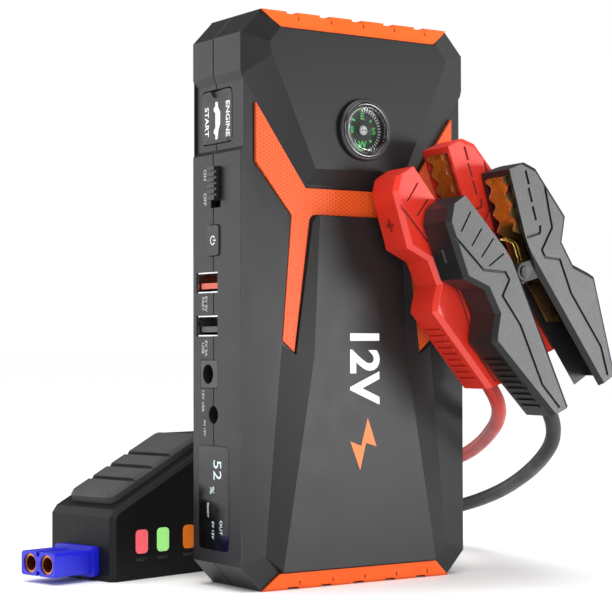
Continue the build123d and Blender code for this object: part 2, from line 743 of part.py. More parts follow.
near_flange = gripping_edge + [(3.0, 11.9), (8.9, 12.6), (8.9, 31.3), (1.6, 31.6)]
far_flange = gripping_edge + [(2.6, 11.6), (3.1, 0.8), (5.9, -3.6), (8.1, -9.8), (10.8, -19.6), (15.8, -21.0),
                              (15.1, -14.0), (11.5, -5.1), (8.7, -0.6), (8.9, 31.3), (1.6, 31.6)]
clamps = {
    "red": {"pivot": (30.3, -31.7, 111.5), "opening": 9.5},
    "black": {"pivot": (38.2, -50.6, 102.4), "opening": 13.0},
}


def clamp_plane(pivot, turned):
    """The working plane of a clamp at its pivot, turned about the hinge axis by this many degrees."""
    angle = math.radians(turned)
    return Plane(origin=pivot, x_dir=opening_dir * math.cos(angle) + jaw_dir * math.sin(angle), z_dir=hinge_axis * -1)


def mirrored(points, side):
    """The same points for the left half (side -1) or the right half (side 1)."""
    return [(side * x, y) for x, y in points]


def slab(plane, points, low, high, mode=Mode.ADD):
    """A flat plate between two heights over a plane, of the outline given."""
    with BuildSketch(plane.offset(low)) as section:
        outline(points)
    extrude(section.sketch, amount=high - low, mode=mode)


def ear(plane, side, low, high):
    """A lug from the hollow of one half to the pivot, round at the pin."""
    with BuildSketch(plane.offset(low)) as section:
        outline(mirrored([(0, -3.2), (16.5, -3.2), (15.2, 3.2), (0, 3.2)], side))
        Circle(3.2)
    extrude(section.sketch, amount=high - low)


def clamp_shell(plane, side):
    """One handle-and-jaw shell: a bevelled channel, open towards the other half, with grip detail."""
    half = clamp_width / 2
    inner = half - shell_wall
    with BuildPart() as shell:
        with BuildSketch(plane.offset(-half)):
            outline(mirrored(shell_outline, side))
        extrude(amount=clamp_width)
        back = [edge for edge in shell.edges().filter_by(GeomType.LINE)
                if abs(abs(plane.to_local_coords(edge.center()).Z) - half) < 0.01
                and side * plane.to_local_coords(edge.center()).X > 6.0]
        chamfer([edge for edge in back if plane.to_local_coords(edge.center()).Y > -42.0], 1.5)
        slab(plane, mirrored(hollow_outline, side), -inner, inner, Mode.SUBTRACT)
        # seat for the copper jaw
        slab(plane, mirrored([(9.0, 15.5), (18.0, 15.5), (12.0, 30.0), (9.0, 30.0)], side), -3.6, 3.6)
        lugs = (3.2, 4.9) if side < 0 else (5.15, inner)
        ear(plane, side, lugs[0], lugs[1])
        ear(plane, side, -lugs[1], -lugs[0])
        if side < 0:
            slab(plane, mirrored([(14.6, -34.0), (24.0, -34.0), (24.0, -28.0), (14.0, -28.0)], side), -inner, inner)
            slab(plane, mirrored([(14.5, -3.2), (18.0, -3.2), (16.0, 3.2), (13.2, 3.2)], side), -4.9, 4.9)
        radius = pin_radius if side < 0 else pin_radius + pin_play
        disc(plane.offset(-half), (0, 0), radius, clamp_width, Mode.SUBTRACT)
        for face in (-1, 1):
            depth_from = half - 0.6 if face > 0 else -half - 0.1
            with BuildSketch(plane.offset(depth_from)):
                with BuildLine():
                    Polyline(*mirrored(groove_line, side))
                trace(line_width=0.8)
                for start, end in fixed_slits if side < 0 else moving_slits:
                    with BuildLine():
                        Line(*mirrored([start, end], side))
                    trace(line_width=0.5 if side < 0 else 0.8)
            extrude(amount=0.7, mode=Mode.SUBTRACT)
    return shell.part


def jaw_plate(plane, side):
    """A toothed copper channel in one jaw; the moving half's far flange runs down into the handle."""
    with BuildPart() as plate:
        slab(plane, mirrored(near_flange, side), 4.2, 5.0)
        slab(plane, mirrored(far_flange if side > 0 else near_flange, side), -5.0, -4.2)
        slab(plane, mirrored([(8.1, 15.0), (9.0, 15.0), (9.0, 31.3), (8.1, 31.3)], side), -5.0, 5.0)
    return plate.part


def pivot_pin(plane):
    """A riveted pin through both pairs of lugs."""
    with BuildPart() as pin:
        disc(plane.offset(-6.95), (0, 0), pin_radius, 13.9)
        disc(plane.offset(-7.45), (0, 0), 2.0, 0.5)
        disc(plane.offset(6.95), (0, 0), 2.0, 0.5)
    return pin.part


def spring_coil(plane):
    """The coil of the torsion spring about the pin."""
    wire = 0.55
    mean = 2.1
    turns = 4
    with BuildPart() as spring:
        with BuildLine() as coil:
            Helix(pitch=4.8 / turns, height=4.8, radius=mean, center=plane.origin - plane.z_dir * 2.4,
                  direction=plane.z_dir)
        with BuildSketch(Plane(origin=coil.line @ 0, z_dir=coil.line % 0)):
            Circle(wire)
        sweep(path=coil.line, is_frenet=True)
    return spring.part


for colour, clamp in clamps.items():
    centre_plane = clamp_plane(clamp["pivot"], 0)
    left_plane = clamp_plane(clamp["pivot"], clamp["opening"])
    right_plane = clamp_plane(clamp["pivot"], -clamp["opening"])
    save(clamp_shell(left_plane, -1), f"{colour}_fixed_shell")
    save(clamp_shell(right_plane, 1), f"{colour}_moving_shell")
    save(jaw_plate(left_plane, -1), f"{colour}_fixed_jaw")
    save(jaw_plate(right_plane, 1), f"{colour}_moving_jaw")
    save(pivot_pin(centre_plane), f"{colour}_pivot_pin")
    save(spring_coil(centre_plane), f"{colour}_spring")
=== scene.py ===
"""Jump starter pack: finished surfaces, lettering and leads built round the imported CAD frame.

The frame is in metres: origin at the centre of the power unit's base, +X to the right of its front
face, +Y towards its back, +Z up. Sizes in this file are in millimetres unless a name says otherwise.
"""

import logging
import math
from dataclasses import dataclass
from enum import Enum
from typing import Any, Callable, Sequence

import bmesh
import bpy
from mathutils import Matrix, Vector

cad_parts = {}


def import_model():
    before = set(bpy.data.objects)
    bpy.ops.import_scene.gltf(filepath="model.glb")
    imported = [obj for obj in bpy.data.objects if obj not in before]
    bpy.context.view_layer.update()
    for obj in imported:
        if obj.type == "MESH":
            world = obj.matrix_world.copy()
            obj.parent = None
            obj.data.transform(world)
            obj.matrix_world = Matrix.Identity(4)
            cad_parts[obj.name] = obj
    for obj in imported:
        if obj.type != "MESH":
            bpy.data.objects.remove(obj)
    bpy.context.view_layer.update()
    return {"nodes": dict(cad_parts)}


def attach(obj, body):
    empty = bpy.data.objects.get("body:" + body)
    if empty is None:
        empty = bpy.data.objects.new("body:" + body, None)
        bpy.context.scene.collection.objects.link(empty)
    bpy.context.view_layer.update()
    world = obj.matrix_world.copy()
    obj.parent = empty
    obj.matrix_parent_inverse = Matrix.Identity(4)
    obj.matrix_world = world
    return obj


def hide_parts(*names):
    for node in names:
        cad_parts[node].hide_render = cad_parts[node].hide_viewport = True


MM = 0.001
LOG = logging.getLogger("jump_starter")
PRINT_MM = 0.04  # thickness of printed and painted marks
PRINT_LIFT = 0.01  # gap between a mark and the face under it
CAPITAL_SHARE = 0.72  # height of a capital letter as a share of the type size

Point = tuple[float, float, float]
Flat = tuple[float, float]
Tree = bpy.types.NodeTree
Node = bpy.types.Node
Socket = bpy.types.NodeSocket
Piece = bpy.types.Object
Shape = bmesh.types.BMesh


class Body(Enum):
    """The rigid bodies that pieces ride on."""

    UNIT = "unit"
    FLAP = "start_flap"
    KNOB = "slide_knob"
    BUTTON = "power_button"
    CARD = "compass_card"
    RED_JAW = "red_jaw"
    BLACK_JAW = "black_jaw"


class Facing(Enum):
    """How flat artwork lies on the unit: its reading direction, its up direction and the way it looks."""

    FRONT_UPRIGHT = ((1, 0, 0), (0, 0, 1), (0, -1, 0))
    FRONT_DOWNWARD = ((0, 0, -1), (1, 0, 0), (0, -1, 0))
    LEFT_DOWNWARD = ((0, 0, -1), (0, -1, 0), (-1, 0, 0))

    def at(self, x: float, y: float, z: float) -> Matrix:
        """The matrix that puts artwork drawn about (0, 0) at this place.

        Args:
            x: Row X in mm.
            y: Row Y in mm.
            z: Row Z in mm.

        Returns:
            The placing matrix, in metres.
        """
        return axes_matrix(Vector((x, y, z)) * MM, *(Vector(axis) for axis in self.value))


def axes_matrix(origin: Vector, right: Vector, up: Vector, out: Vector) -> Matrix:
    """A placing matrix from an origin and three unit directions.

    Args:
        origin: Where (0, 0, 0) goes, in metres.
        right: Where local X points.
        up: Where local Y points.
        out: Where local Z points.

    Returns:
        The 4 by 4 matrix.
    """
    return Matrix.Translation(origin) @ Matrix((right, up, out)).transposed().to_4x4()


def linear(code: str) -> tuple[float, float, float, float]:
    """A linear RGBA colour from an sRGB hex value.

    Args:
        code: The colour as "#RRGGBB".

    Returns:
        Linear red, green, blue and an alpha of 1.
    """
    parts = [int(code[i:i + 2], 16) / 255 for i in (1, 3, 5)]
    red, green, blue = (p / 12.92 if p <= 0.04045 else ((p + 0.055) / 1.055) ** 2.4 for p in parts)
    return red, green, blue, 1.0


def add_node(tree: Tree, kind: str, settings: dict[str, Any] | None = None,
             links: dict[str | int, Socket] | None = None) -> Node:
    """Add one shader node with its settings and links.

    Args:
        tree: The node tree to add to.
        kind: The node's type name without its "ShaderNode" prefix.
        settings: Values by input name, or by attribute name where no input has that name.
        links: Output sockets to join, by input name or index.

    Returns:
        The new node.
    """
    node = tree.nodes.new("ShaderNode" + kind)
    for name, value in (settings or {}).items():
        if name in node.inputs:
            node.inputs[name].default_value = value
        else:
            setattr(node, name, value)
    for name, socket in (links or {}).items():
        tree.links.new(socket, node.inputs[name])
    return node


def settle(node: Node, values: dict[str, Any]) -> None:
    """Set constants on a node's input sockets.

    Args:
        node: The node.
        values: Value by the socket's name.
    """
    for name, value in values.items():
        node.inputs[name].default_value = value


def noise(tree: Tree, coords: Socket, size_mm: float, detail: float = 3.0,
          roughness: float = 0.5) -> Socket:
    """A cloudy pattern whose blobs have a real size.

    Args:
        tree: The node tree.
        coords: The coordinates to read.
        size_mm: Rough size of one blob.
        detail: Octaves of finer pattern.
        roughness: How strong the finer octaves are.

    Returns:
        The pattern's value socket.
    """
    node = add_node(tree, "TexNoise", {"Scale": 1 / (size_mm * MM), "Detail": detail, "Roughness": roughness},
                    {"Vector": coords})
    return node.outputs[0]


def remap(tree: Tree, value: Socket, low: float, high: float,
          to_low: float = 0.0, to_high: float = 1.0) -> Socket:
    """Stretch a value from one range to another, clamped at both ends.

    Args:
        tree: The node tree.
        value: The socket to stretch.
        low: Input value that gives to_low.
        high: Input value that gives to_high.
        to_low: Result at low.
        to_high: Result at high.

    Returns:
        The stretched value's socket.
    """
    settings = {"From Min": low, "From Max": high, "To Min": to_low, "To Max": to_high}
    return add_node(tree, "MapRange", settings, {"Value": value}).outputs[0]


def blend_colours(tree: Tree, factor: Socket, first: Any, second: Any) -> Socket:
    """Mix two colours, each a hex code or a colour socket.

    Args:
        tree: The node tree.
        factor: 0 gives the first colour, 1 the second.
        first: Hex code or socket.
        second: Hex code or socket.

    Returns:
        The mixed colour's socket.
    """
    node = add_node(tree, "Mix", {"data_type": "RGBA"}, {0: factor})
    for index, colour in ((6, first), (7, second)):
        if isinstance(colour, str):
            node.inputs[index].default_value = linear(colour)
        else:
            tree.links.new(colour, node.inputs[index])
    return node.outputs[2]


# ------------------------------------------------------------------ finishes
@dataclass(frozen=True)
class Finish:
    """What every finish has: a name for its material and its main colour."""

    name: str
    colour: str
    slot: str

    def material(self) -> bpy.types.Material:
        """The finish's material, made once and shared by its pieces."""
        made = bpy.data.materials.get(self.name)
        if made is None:
            made = bpy.data.materials.new(self.name)
            made.use_nodes = True
            made.diffuse_color = linear(self.colour)
            tree = made.node_tree
            tree.nodes.clear()
            shader = add_node(tree, "BsdfPrincipled", {"Base Color": linear(self.colour)})
            add_node(tree, "OutputMaterial", links={"Surface": shader.outputs[0]})
            self.dress(tree, shader, add_node(tree, "TexCoord").outputs["Object"])
        return made

    def dress(self, tree: Tree, shader: Node, coords: Socket) -> None:
        """Add the finish's own nodes.

        Args:
            tree: The material's node tree.
            shader: Its principled shader.
            coords: Object coordinates, in metres.
        """
        raise NotImplementedError

    @staticmethod
    def relief(tree: Tree, shader: Node, height: Socket, depth_mm: float, edge_mm: float = 0.0) -> None:
        """Raise the surface by a height pattern, over edges that are slightly rounded.

        Args:
            tree: The material's node tree.
            shader: The shader whose normal is raised.
            height: Pattern from 0 to 1.
            depth_mm: Height in mm between 0 and 1.
            edge_mm: Radius that hard edges appear to have.
        """
        bump = add_node(tree, "Bump", {"Strength": 1.0, "Distance": depth_mm * MM}, {"Height": height})
        if edge_mm:
            rounded = add_node(tree, "Bevel", {"samples": 6, "Radius": edge_mm * MM})
            tree.links.new(rounded.outputs[0], bump.inputs["Normal"])
        tree.links.new(bump.outputs[0], shader.inputs["Normal"])

    @staticmethod
    def painted_crevice_shade(tree: Tree, colour: Socket, depth: float, reach_mm: float = 1.4) -> Socket:
        """Painted shade: darken a colour in grooves, seams and gaps, where shade falls.

        Args:
            tree: The material's node tree.
            colour: The colour before the painted shade.
            depth: 0 leaves it, 1 goes to black in the deepest grooves.
            reach_mm: How far apart two walls may be to shade each other.

        Returns:
            The colour with the painted shade, as a socket.
        """
        # painted shade: ambient occlusion darkens the colour where walls stand close together
        shade = add_node(tree, "AmbientOcclusion", {"samples": 8, "Distance": reach_mm * MM})
        level = remap(tree, shade.outputs["AO"], 0.25, 0.85, 1 - depth, 1.0)
        return add_node(tree, "HueSaturation", links={"Color": colour, "Value": level}).outputs[0]


@dataclass(frozen=True)
class MouldedPlastic(Finish):
    """ABS moulded in a spark-eroded tool: a fine pebbled grain that spreads each highlight softly."""

    roughness: float = 0.45
    grain_mm: float = 0.35
    grain_depth_mm: float = 0.012
    fleck: str = ""
    fleck_share: float = 0.0
    mottle: float = 0.06
    gloss: float = 0.0
    edge_mm: float = 0.25
    shine: float = 0.5

    def dress(self, tree: Tree, shader: Node, coords: Socket) -> None:
        """Pebbled grain, slow flow marks in the colour, painted shade in grooves and seams, and handling
        marks in the gloss.
        """
        settle(shader, {"IOR": 1.52, "Specular IOR Level": self.shine, "Coat Weight": self.gloss,
                        "Coat Roughness": 0.12})
        grain = noise(tree, coords, self.grain_mm, 2.0)
        flow = noise(tree, coords, 22.0, 3.0)
        shade = remap(tree, flow, 0.3, 0.7, 1 - self.mottle, 1 + self.mottle)
        toned = add_node(tree, "HueSaturation", {"Color": linear(self.colour)}, {"Value": shade}).outputs[0]
        if self.fleck:
            peaks = remap(tree, grain, 0.52, 0.74, 0.0, self.fleck_share)
            toned = blend_colours(tree, peaks, toned, self.fleck)
        # painted shade: the base colour is darkened in grooves and seams
        tree.links.new(self.painted_crevice_shade(tree, toned, 0.75), shader.inputs["Base Color"])
        handled = noise(tree, coords, 9.0, 5.0, 0.6)
        tree.links.new(remap(tree, handled, 0.3, 0.7, self.roughness - 0.02, self.roughness + 0.02),
                       shader.inputs["Roughness"])
        self.relief(tree, shader, grain, self.grain_depth_mm, self.edge_mm)


@dataclass(frozen=True)
class Elastomer(Finish):
    """Moulded thermoplastic rubber: matt, slightly dusty, with a soft grain and a faint edge sheen."""

    roughness: float = 0.58
    grain_mm: float = 0.4
    grain_depth_mm: float = 0.02
    dust: str = "#FFFFFF"

    def dress(self, tree: Tree, shader: Node, coords: Socket) -> None:
        """Soft grain with a thin, uneven film of dust, and painted shade in grooves and seams."""
        settle(shader, {"IOR": 1.5, "Specular IOR Level": 0.3, "Sheen Weight": 0.03,
                        "Sheen Roughness": 0.4})
        grain = noise(tree, coords, self.grain_mm, 2.0)
        film = remap(tree, noise(tree, coords, 14.0, 6.0, 0.65), 0.45, 0.8, 0.0, 0.10)
        dusty = blend_colours(tree, film, self.colour, self.dust)
        # painted shade: the dusted colour is darkened in grooves and seams
        tree.links.new(self.painted_crevice_shade(tree, dusty, 0.6), shader.inputs["Base Color"])
        wear = noise(tree, coords, 6.0, 4.0)
        worn = remap(tree, wear, 0.3, 0.7, self.roughness - 0.06, self.roughness + 0.08)
        tree.links.new(worn, shader.inputs["Roughness"])
        self.relief(tree, shader, grain, self.grain_depth_mm, 0.3)


@dataclass(frozen=True)
class HexagonInlay(Finish):
    """Painted ABS trim with a moulded net of hexagon lines, coloured paler as a painted highlight where the
    lines catch the light.
    """

    # paler colour of the hexagon lines: a painted highlight
    line: str = "#DE6128"
    pitch_mm: float = 1.3

    def dress(self, tree: Tree, shader: Node, coords: Socket) -> None:
        """Three wave trains at 60 degrees add up to a honeycomb."""
        settle(shader, {"Roughness": 0.42, "IOR": 1.5, "Specular IOR Level": 0.3})
        total = None
        wave_number = 2 * math.pi / (self.pitch_mm * MM * math.sqrt(3) / 2)
        for turn in (0, 60, 120):
            angle = math.radians(turn)
            direction = (math.cos(angle) * wave_number, 0.0, math.sin(angle) * wave_number)
            phase = add_node(tree, "VectorMath", {"operation": "DOT_PRODUCT"}, {0: coords})
            phase.inputs[1].default_value = direction
            wave = add_node(tree, "Math", {"operation": "COSINE"}, {0: phase.outputs["Value"]}).outputs[0]
            if total is None:
                total = wave
            else:
                total = add_node(tree, "Math", {"operation": "ADD"}, {0: total, 1: wave}).outputs[0]
        net = remap(tree, total, -0.35, -1.0, 0.0, 1.0)
        # painted highlight: the hexagon net is coloured paler than the inlay
        tree.links.new(blend_colours(tree, net, self.colour, self.line), shader.inputs["Base Color"])
        self.relief(tree, shader, net, 0.06, 0.2)


@dataclass(frozen=True)
class Metal(Finish):
    """Stamped, drawn or plated metal: fine tool marks along one direction and a little tarnish."""

    roughness: float = 0.28
    tarnish: str = "#6B5B45"
    tarnish_share: float = 0.25
    mark_mm: float = 0.18
    stretch: Point = (1.0, 1.0, 12.0)
    mark_depth_mm: float = 0.004

    def dress(self, tree: Tree, shader: Node, coords: Socket) -> None:
        """Stretched noise for the tool marks, cloudy noise for the tarnish."""
        settle(shader, {"Metallic": 1.0})
        drawn = add_node(tree, "Mapping", {"vector_type": "TEXTURE", "Scale": self.stretch},
                         {"Vector": coords})
        marks = noise(tree, drawn.outputs[0], self.mark_mm, 2.0)
        cloud = noise(tree, coords, 3.5, 5.0, 0.6)
        stain = remap(tree, cloud, 0.45, 0.75, 0.0, self.tarnish_share)
        tree.links.new(blend_colours(tree, stain, self.colour, self.tarnish), shader.inputs["Base Color"])
        tree.links.new(remap(tree, cloud, 0.3, 0.75, self.roughness - 0.06, self.roughness + 0.14),
                       shader.inputs["Roughness"])
        self.relief(tree, shader, marks, self.mark_depth_mm)


@dataclass(frozen=True)
class ClearPlastic(Finish):
    """Polished acrylic: clear, with faint wiping marks in its gloss."""

    def dress(self, tree: Tree, shader: Node, coords: Socket) -> None:
        """Full transmission with slightly uneven polish."""
        settle(shader, {"IOR": 1.49, "Transmission Weight": 1.0})
        wiped = noise(tree, coords, 5.0, 6.0, 0.7)
        tree.links.new(remap(tree, wiped, 0.35, 0.75, 0.01, 0.06), shader.inputs["Roughness"])


@dataclass(frozen=True)
class Ink(Finish):
    """Pad-printed ink: flat, even, a little less glossy where the print is thin."""

    glow: float = 0.0

    def dress(self, tree: Tree, shader: Node, coords: Socket) -> None:
        """Thin print with tiny pinholes of tone."""
        settle(shader, {"IOR": 1.48, "Emission Color": linear(self.colour), "Emission Strength": self.glow})
        thin = noise(tree, coords, 0.5, 3.0)
        shade = remap(tree, thin, 0.3, 0.7, 0.94, 1.04)
        toned = add_node(tree, "HueSaturation", {"Color": linear(self.colour)}, {"Value": shade}).outputs[0]
        tree.links.new(toned, shader.inputs["Base Color"])
        tree.links.new(remap(tree, thin, 0.3, 0.7, 0.4, 0.55), shader.inputs["Roughness"])


@dataclass(frozen=True)
class LampPlastic(Finish):
    """Diffusing polycarbonate over a small lamp: milky inside, glossy outside, glowing gently."""

    glow: float = 0.35

    def dress(self, tree: Tree, shader: Node, coords: Socket) -> None:
        """Milky scatter with a soft, slightly uneven glow."""
        settle(shader, {"IOR": 1.58, "Roughness": 0.3, "Subsurface Weight": 0.35,
                        "Subsurface Radius": (1.0, 1.0, 1.0), "Subsurface Scale": 1.2 * MM,
                        "Emission Color": linear(self.colour)})
        cloud = noise(tree, coords, 3.0, 2.0)
        tree.links.new(remap(tree, cloud, 0.3, 0.7, self.glow * 0.8, self.glow * 1.2),
                       shader.inputs["Emission Strength"])
        self.relief(tree, shader, noise(tree, coords, 0.8, 2.0), 0.01)


@dataclass(frozen=True)
class GlossWindow(Finish):
    """Smoked polycarbonate window: deep black with an anti-glare face and fine swirl marks."""

    def dress(self, tree: Tree, shader: Node, coords: Socket) -> None:
        """Near-black, with faint cloudy wear in its gloss."""
        settle(shader, {"IOR": 1.33})
        cloud = noise(tree, coords, 4.0, 6.0, 0.7)
        tree.links.new(remap(tree, cloud, 0.35, 0.75, 0.1, 0.22), shader.inputs["Roughness"])
        tree.links.new(blend_colours(tree, remap(tree, cloud, 0.4, 0.8, 0.0, 0.3), self.colour, "#1C2021"),
                       shader.inputs["Base Color"])


@dataclass(frozen=True)
class CircuitLaminate(Finish):
    """Glass-epoxy board under solder mask: green with raised copper tracks on a square grid."""

    track_mm: float = 1.27

    def dress(self, tree: Tree, shader: Node, coords: Socket) -> None:
        """Brick-like cells read as tracks and pads."""
        settle(shader, {"IOR": 1.55, "Roughness": 0.3})
        turned = add_node(tree, "Mapping", {"Rotation": (math.radians(90), 0, 0)}, {"Vector": coords})
        tracks = add_node(tree, "TexBrick", {"Scale": 1 / (self.track_mm * MM * 8), "Mortar Size": 0.03,
                                             "Color1": linear(self.colour), "Color2": linear("#1F6B40"),
                                             "Mortar": linear("#3F9A5E")}, {"Vector": turned.outputs[0]})
        tree.links.new(tracks.outputs["Color"], shader.inputs["Base Color"])
        self.relief(tree, shader, tracks.outputs["Fac"], 0.03)


@dataclass(frozen=True)
class PaperFloor(Finish):
    """Seamless studio paper: pale, matt, with the faintest fibre cloud."""

    def dress(self, tree: Tree, shader: Node, coords: Socket) -> None:
        """Barely uneven matt white."""
        settle(shader, {"Roughness": 0.55})
        cloud = noise(tree, coords, 40.0, 4.0)
        tree.links.new(blend_colours(tree, cloud, self.colour, "#FCFCFB"), shader.inputs["Base Color"])


COVER = MouldedPlastic("cover_abs_soft_touch", "#19191A", "cover_charcoal", roughness=0.42, mottle=0.04,
                       shine=0.28)
MODULE_CASE = MouldedPlastic("module_abs_eroded", "#101011", "module_plastic", roughness=0.45, grain_mm=0.4,
                             grain_depth_mm=0.02, edge_mm=0.4, shine=0.2)
BLACK_ABS = MouldedPlastic("socket_abs_black", "#141415", "black_plastic", roughness=0.42, edge_mm=0.12)
TONGUE = MouldedPlastic("contact_carrier_nylon_black", "#1D1E20", "tongue_plastic", roughness=0.4,
                        edge_mm=0.1)
TONGUE_ORANGE = MouldedPlastic("contact_carrier_nylon_orange", "#D2461F", "tongue_plastic", roughness=0.4,
                               edge_mm=0.1)
CLAMP_RED = MouldedPlastic("clamp_abs_gloss_red", "#E03222", "clamp_red", roughness=0.32, grain_mm=0.9,
                           grain_depth_mm=0.006, mottle=0.05, gloss=0.2, edge_mm=0.4)
CLAMP_BLACK = MouldedPlastic("clamp_abs_smooth_black", "#1B1B1C", "clamp_black", roughness=0.42, grain_mm=0.5,
                             grain_depth_mm=0.02, edge_mm=0.3, shine=0.3)
CLAMP_PLATE = MouldedPlastic("clamp_abs_pebbled_grey", "#4A4A4A", "clamp_black", roughness=0.5, grain_mm=0.3,
                             grain_depth_mm=0.03, fleck="#7C7C7C", fleck_share=0.45, edge_mm=0.2)
PLUG_BLUE = MouldedPlastic("plug_nylon_blue", "#161AC8", "plug_blue", roughness=0.36, grain_mm=0.5)
CELL_FILM = MouldedPlastic("cell_film_wrap", "#405C85", "cell_wrap", roughness=0.3, grain_mm=2.0)
BUMPER = Elastomer("bumper_rubber_orange", "#E8580C", "bumper_orange", roughness=0.5, dust="#F79A5E")
PAD_RUBBER = Elastomer("grip_rubber_black", "#3E3E3F", "rubber_black", roughness=0.6, dust="#7A7A7A")
FLAP_RUBBER = Elastomer("flap_rubber_black", "#3C3C3D", "rubber_black", roughness=0.55, dust="#7A7A7A")
SLEEVE_RUBBER = Elastomer("sleeve_rubber_black", "#1B1B1C", "black_plastic", roughness=0.55, dust="#7A7A7A")
RED_JACKET = Elastomer("lead_silicone_red", "#B8332A", "lead_red", roughness=0.42, dust="#F0A098")
BLACK_JACKET = Elastomer("lead_silicone_black", "#262626", "lead_black", roughness=0.45, dust="#8C8C8A")
INLAY = HexagonInlay("inlay_painted_abs", "#D24406", "inlay_orange")
NICKEL = Metal("nickel_plated_steel", "#B9BABB", "plated_steel", roughness=0.26, tarnish="#7A7B7D")
GUNMETAL = Metal("blackened_steel", "#2C2D2E", "plated_steel", roughness=0.3, tarnish="#1E1E1F")
CHROME = Metal("chrome_plated_trim", "#DADBDD", "chrome_trim", roughness=0.14, tarnish="#A8AAAD",
               tarnish_share=0.15)
DARK_CHROME = Metal("black_chrome_trim", "#5E5F61", "chrome_trim", roughness=0.16, tarnish="#3A3B3C")
COPPER = Metal("copper_plated_stamping", "#F8D08C", "copper_jaw", roughness=0.28, tarnish="#B5803C",
               tarnish_share=0.45, mark_depth_mm=0.01)
CONTACT = Metal("copper_alloy_contact", "#D98C48", "copper_contact", roughness=0.3, tarnish="#7A4A1E")
SPRING = Metal("yellow_passivated_wire", "#E6C26A", "spring_wire", roughness=0.22, tarnish="#8A6A2A")
BRASS = Metal("turned_brass", "#D5B060", "brass_pin", roughness=0.25)
LENS = ClearPlastic("acrylic_clear", "#F4F6F6", "clear_lens")
CARD = MouldedPlastic("printed_card_dark", "#101815", "compass_card", roughness=0.5, grain_mm=0.5,
                      edge_mm=0.0)
WINDOW = GlossWindow("display_polycarbonate_smoked", "#050606", "display_black")
BOARD = CircuitLaminate("glass_epoxy_board", "#14563A", "board_green")
WHITE_INK = Ink("print_white", "#EFEFED", "cover_charcoal")
GREY_INK = Ink("print_grey", "#B4B5B6", "cover_charcoal")
DIM_INK = Ink("print_dim_grey", "#4A4A4B", "module_plastic")
ORANGE_INK = Ink("print_orange", "#E9742A", "cover_charcoal")
GREEN_INK = Ink("print_luminous_green", "#55D66B", "compass_card", glow=0.15)
DISPLAY_LIGHT = Ink("display_segment_lit", "#C9DADD", "display_black", glow=0.25)
DARK_INK = Ink("print_black", "#141414", "clamp_black")
DARK_RED_INK = Ink("print_dark_red", "#8E1A10", "clamp_red")
RED_LAMP = LampPlastic("lamp_polycarbonate_red", "#F0636C", "lamp_red")
GREEN_LAMP = LampPlastic("lamp_polycarbonate_green", "#A6F08A", "lamp_green")
AMBER_LAMP = LampPlastic("lamp_polycarbonate_amber", "#D9701A", "lamp_amber")
CHIP = Ink("lamp_chip_phosphor", "#F2D24A", "board_green", glow=0.2)
FLOOR = PaperFloor("studio_paper", "#FFFFFF", "")


# ------------------------------------------------------------------ making pieces
def into_scene(name: str, data: Any) -> Piece:
    """Make an object and put it in the scene.

    Args:
        name: The object's name.
        data: Its mesh, curve, lamp or camera.

    Returns:
        The object.
    """
    made = bpy.data.objects.new(name, data)
    bpy.context.scene.collection.objects.link(made)
    return made


def finished(name: str, shape: Shape, finish: Finish, body: Body, sharp_deg: float = 34.0,
             recalculate: bool = True) -> Piece:
    """Turn a bmesh into a finished piece on its body.

    Args:
        name: The piece's name.
        shape: Its shape in the row frame, in metres. It is freed.
        finish: The finish it gets.
        body: The body it rides on.
        sharp_deg: Edges that turn more than this stay sharp; 0 keeps the shape's own hard edges.
        recalculate: Whether to point its faces outwards.

    Returns:
        The object.
    """
    if recalculate:
        bmesh.ops.recalc_face_normals(shape, faces=shape.faces[:])
    mesh = bpy.data.meshes.new(name)
    shape.to_mesh(mesh)
    shape.free()
    if "custom_normal" in mesh.attributes:
        mesh.attributes.remove(mesh.attributes["custom_normal"])
    mesh.materials.clear()
    mesh.materials.append(finish.material())
    for face in mesh.polygons:
        face.use_smooth = True
        face.material_index = 0
    if sharp_deg:
        mesh.set_sharp_from_angle(angle=math.radians(sharp_deg))
    piece = into_scene(name, mesh)
    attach(piece, body.value)
    LOG.info("piece %s on %s: %d faces", name, body.value, len(mesh.polygons))
    return piece


def mark_surface_borders(mesh: bpy.types.Mesh, turn_deg: float = 4.0) -> set[tuple[Point, Point]]:
    """Find the mesh's hard edges: borders between CAD surfaces whose directions differ.

    Args:
        mesh: A CAD mesh, split along the borders of its surfaces.
        turn_deg: Borders that turn less than this are smooth.

    Returns:
        The hard edges, each as its two rounded end points in order.
    """
    sides: dict[tuple[Point, Point], list[tuple[Vector, Vector]]] = {}
    places = [tuple(round(c, 7) for c in v.co) for v in mesh.vertices]
    for face in mesh.polygons:
        corners = list(face.loop_indices)
        for here, after in zip(corners, corners[1:] + corners[:1]):
            first, second = (places[mesh.loops[i].vertex_index] for i in (here, after))
            directions = [Vector(mesh.corner_normals[i].vector) for i in (here, after)]
            if first > second:
                first, second = second, first
                directions.reverse()
            sides.setdefault((first, second), []).append((directions[0], directions[1]))
    limit = math.cos(math.radians(turn_deg))
    return {ends for ends, found in sides.items()
            if len(found) != 2 or min(a.dot(b) for a, b in zip(found[0], found[1])) < limit}


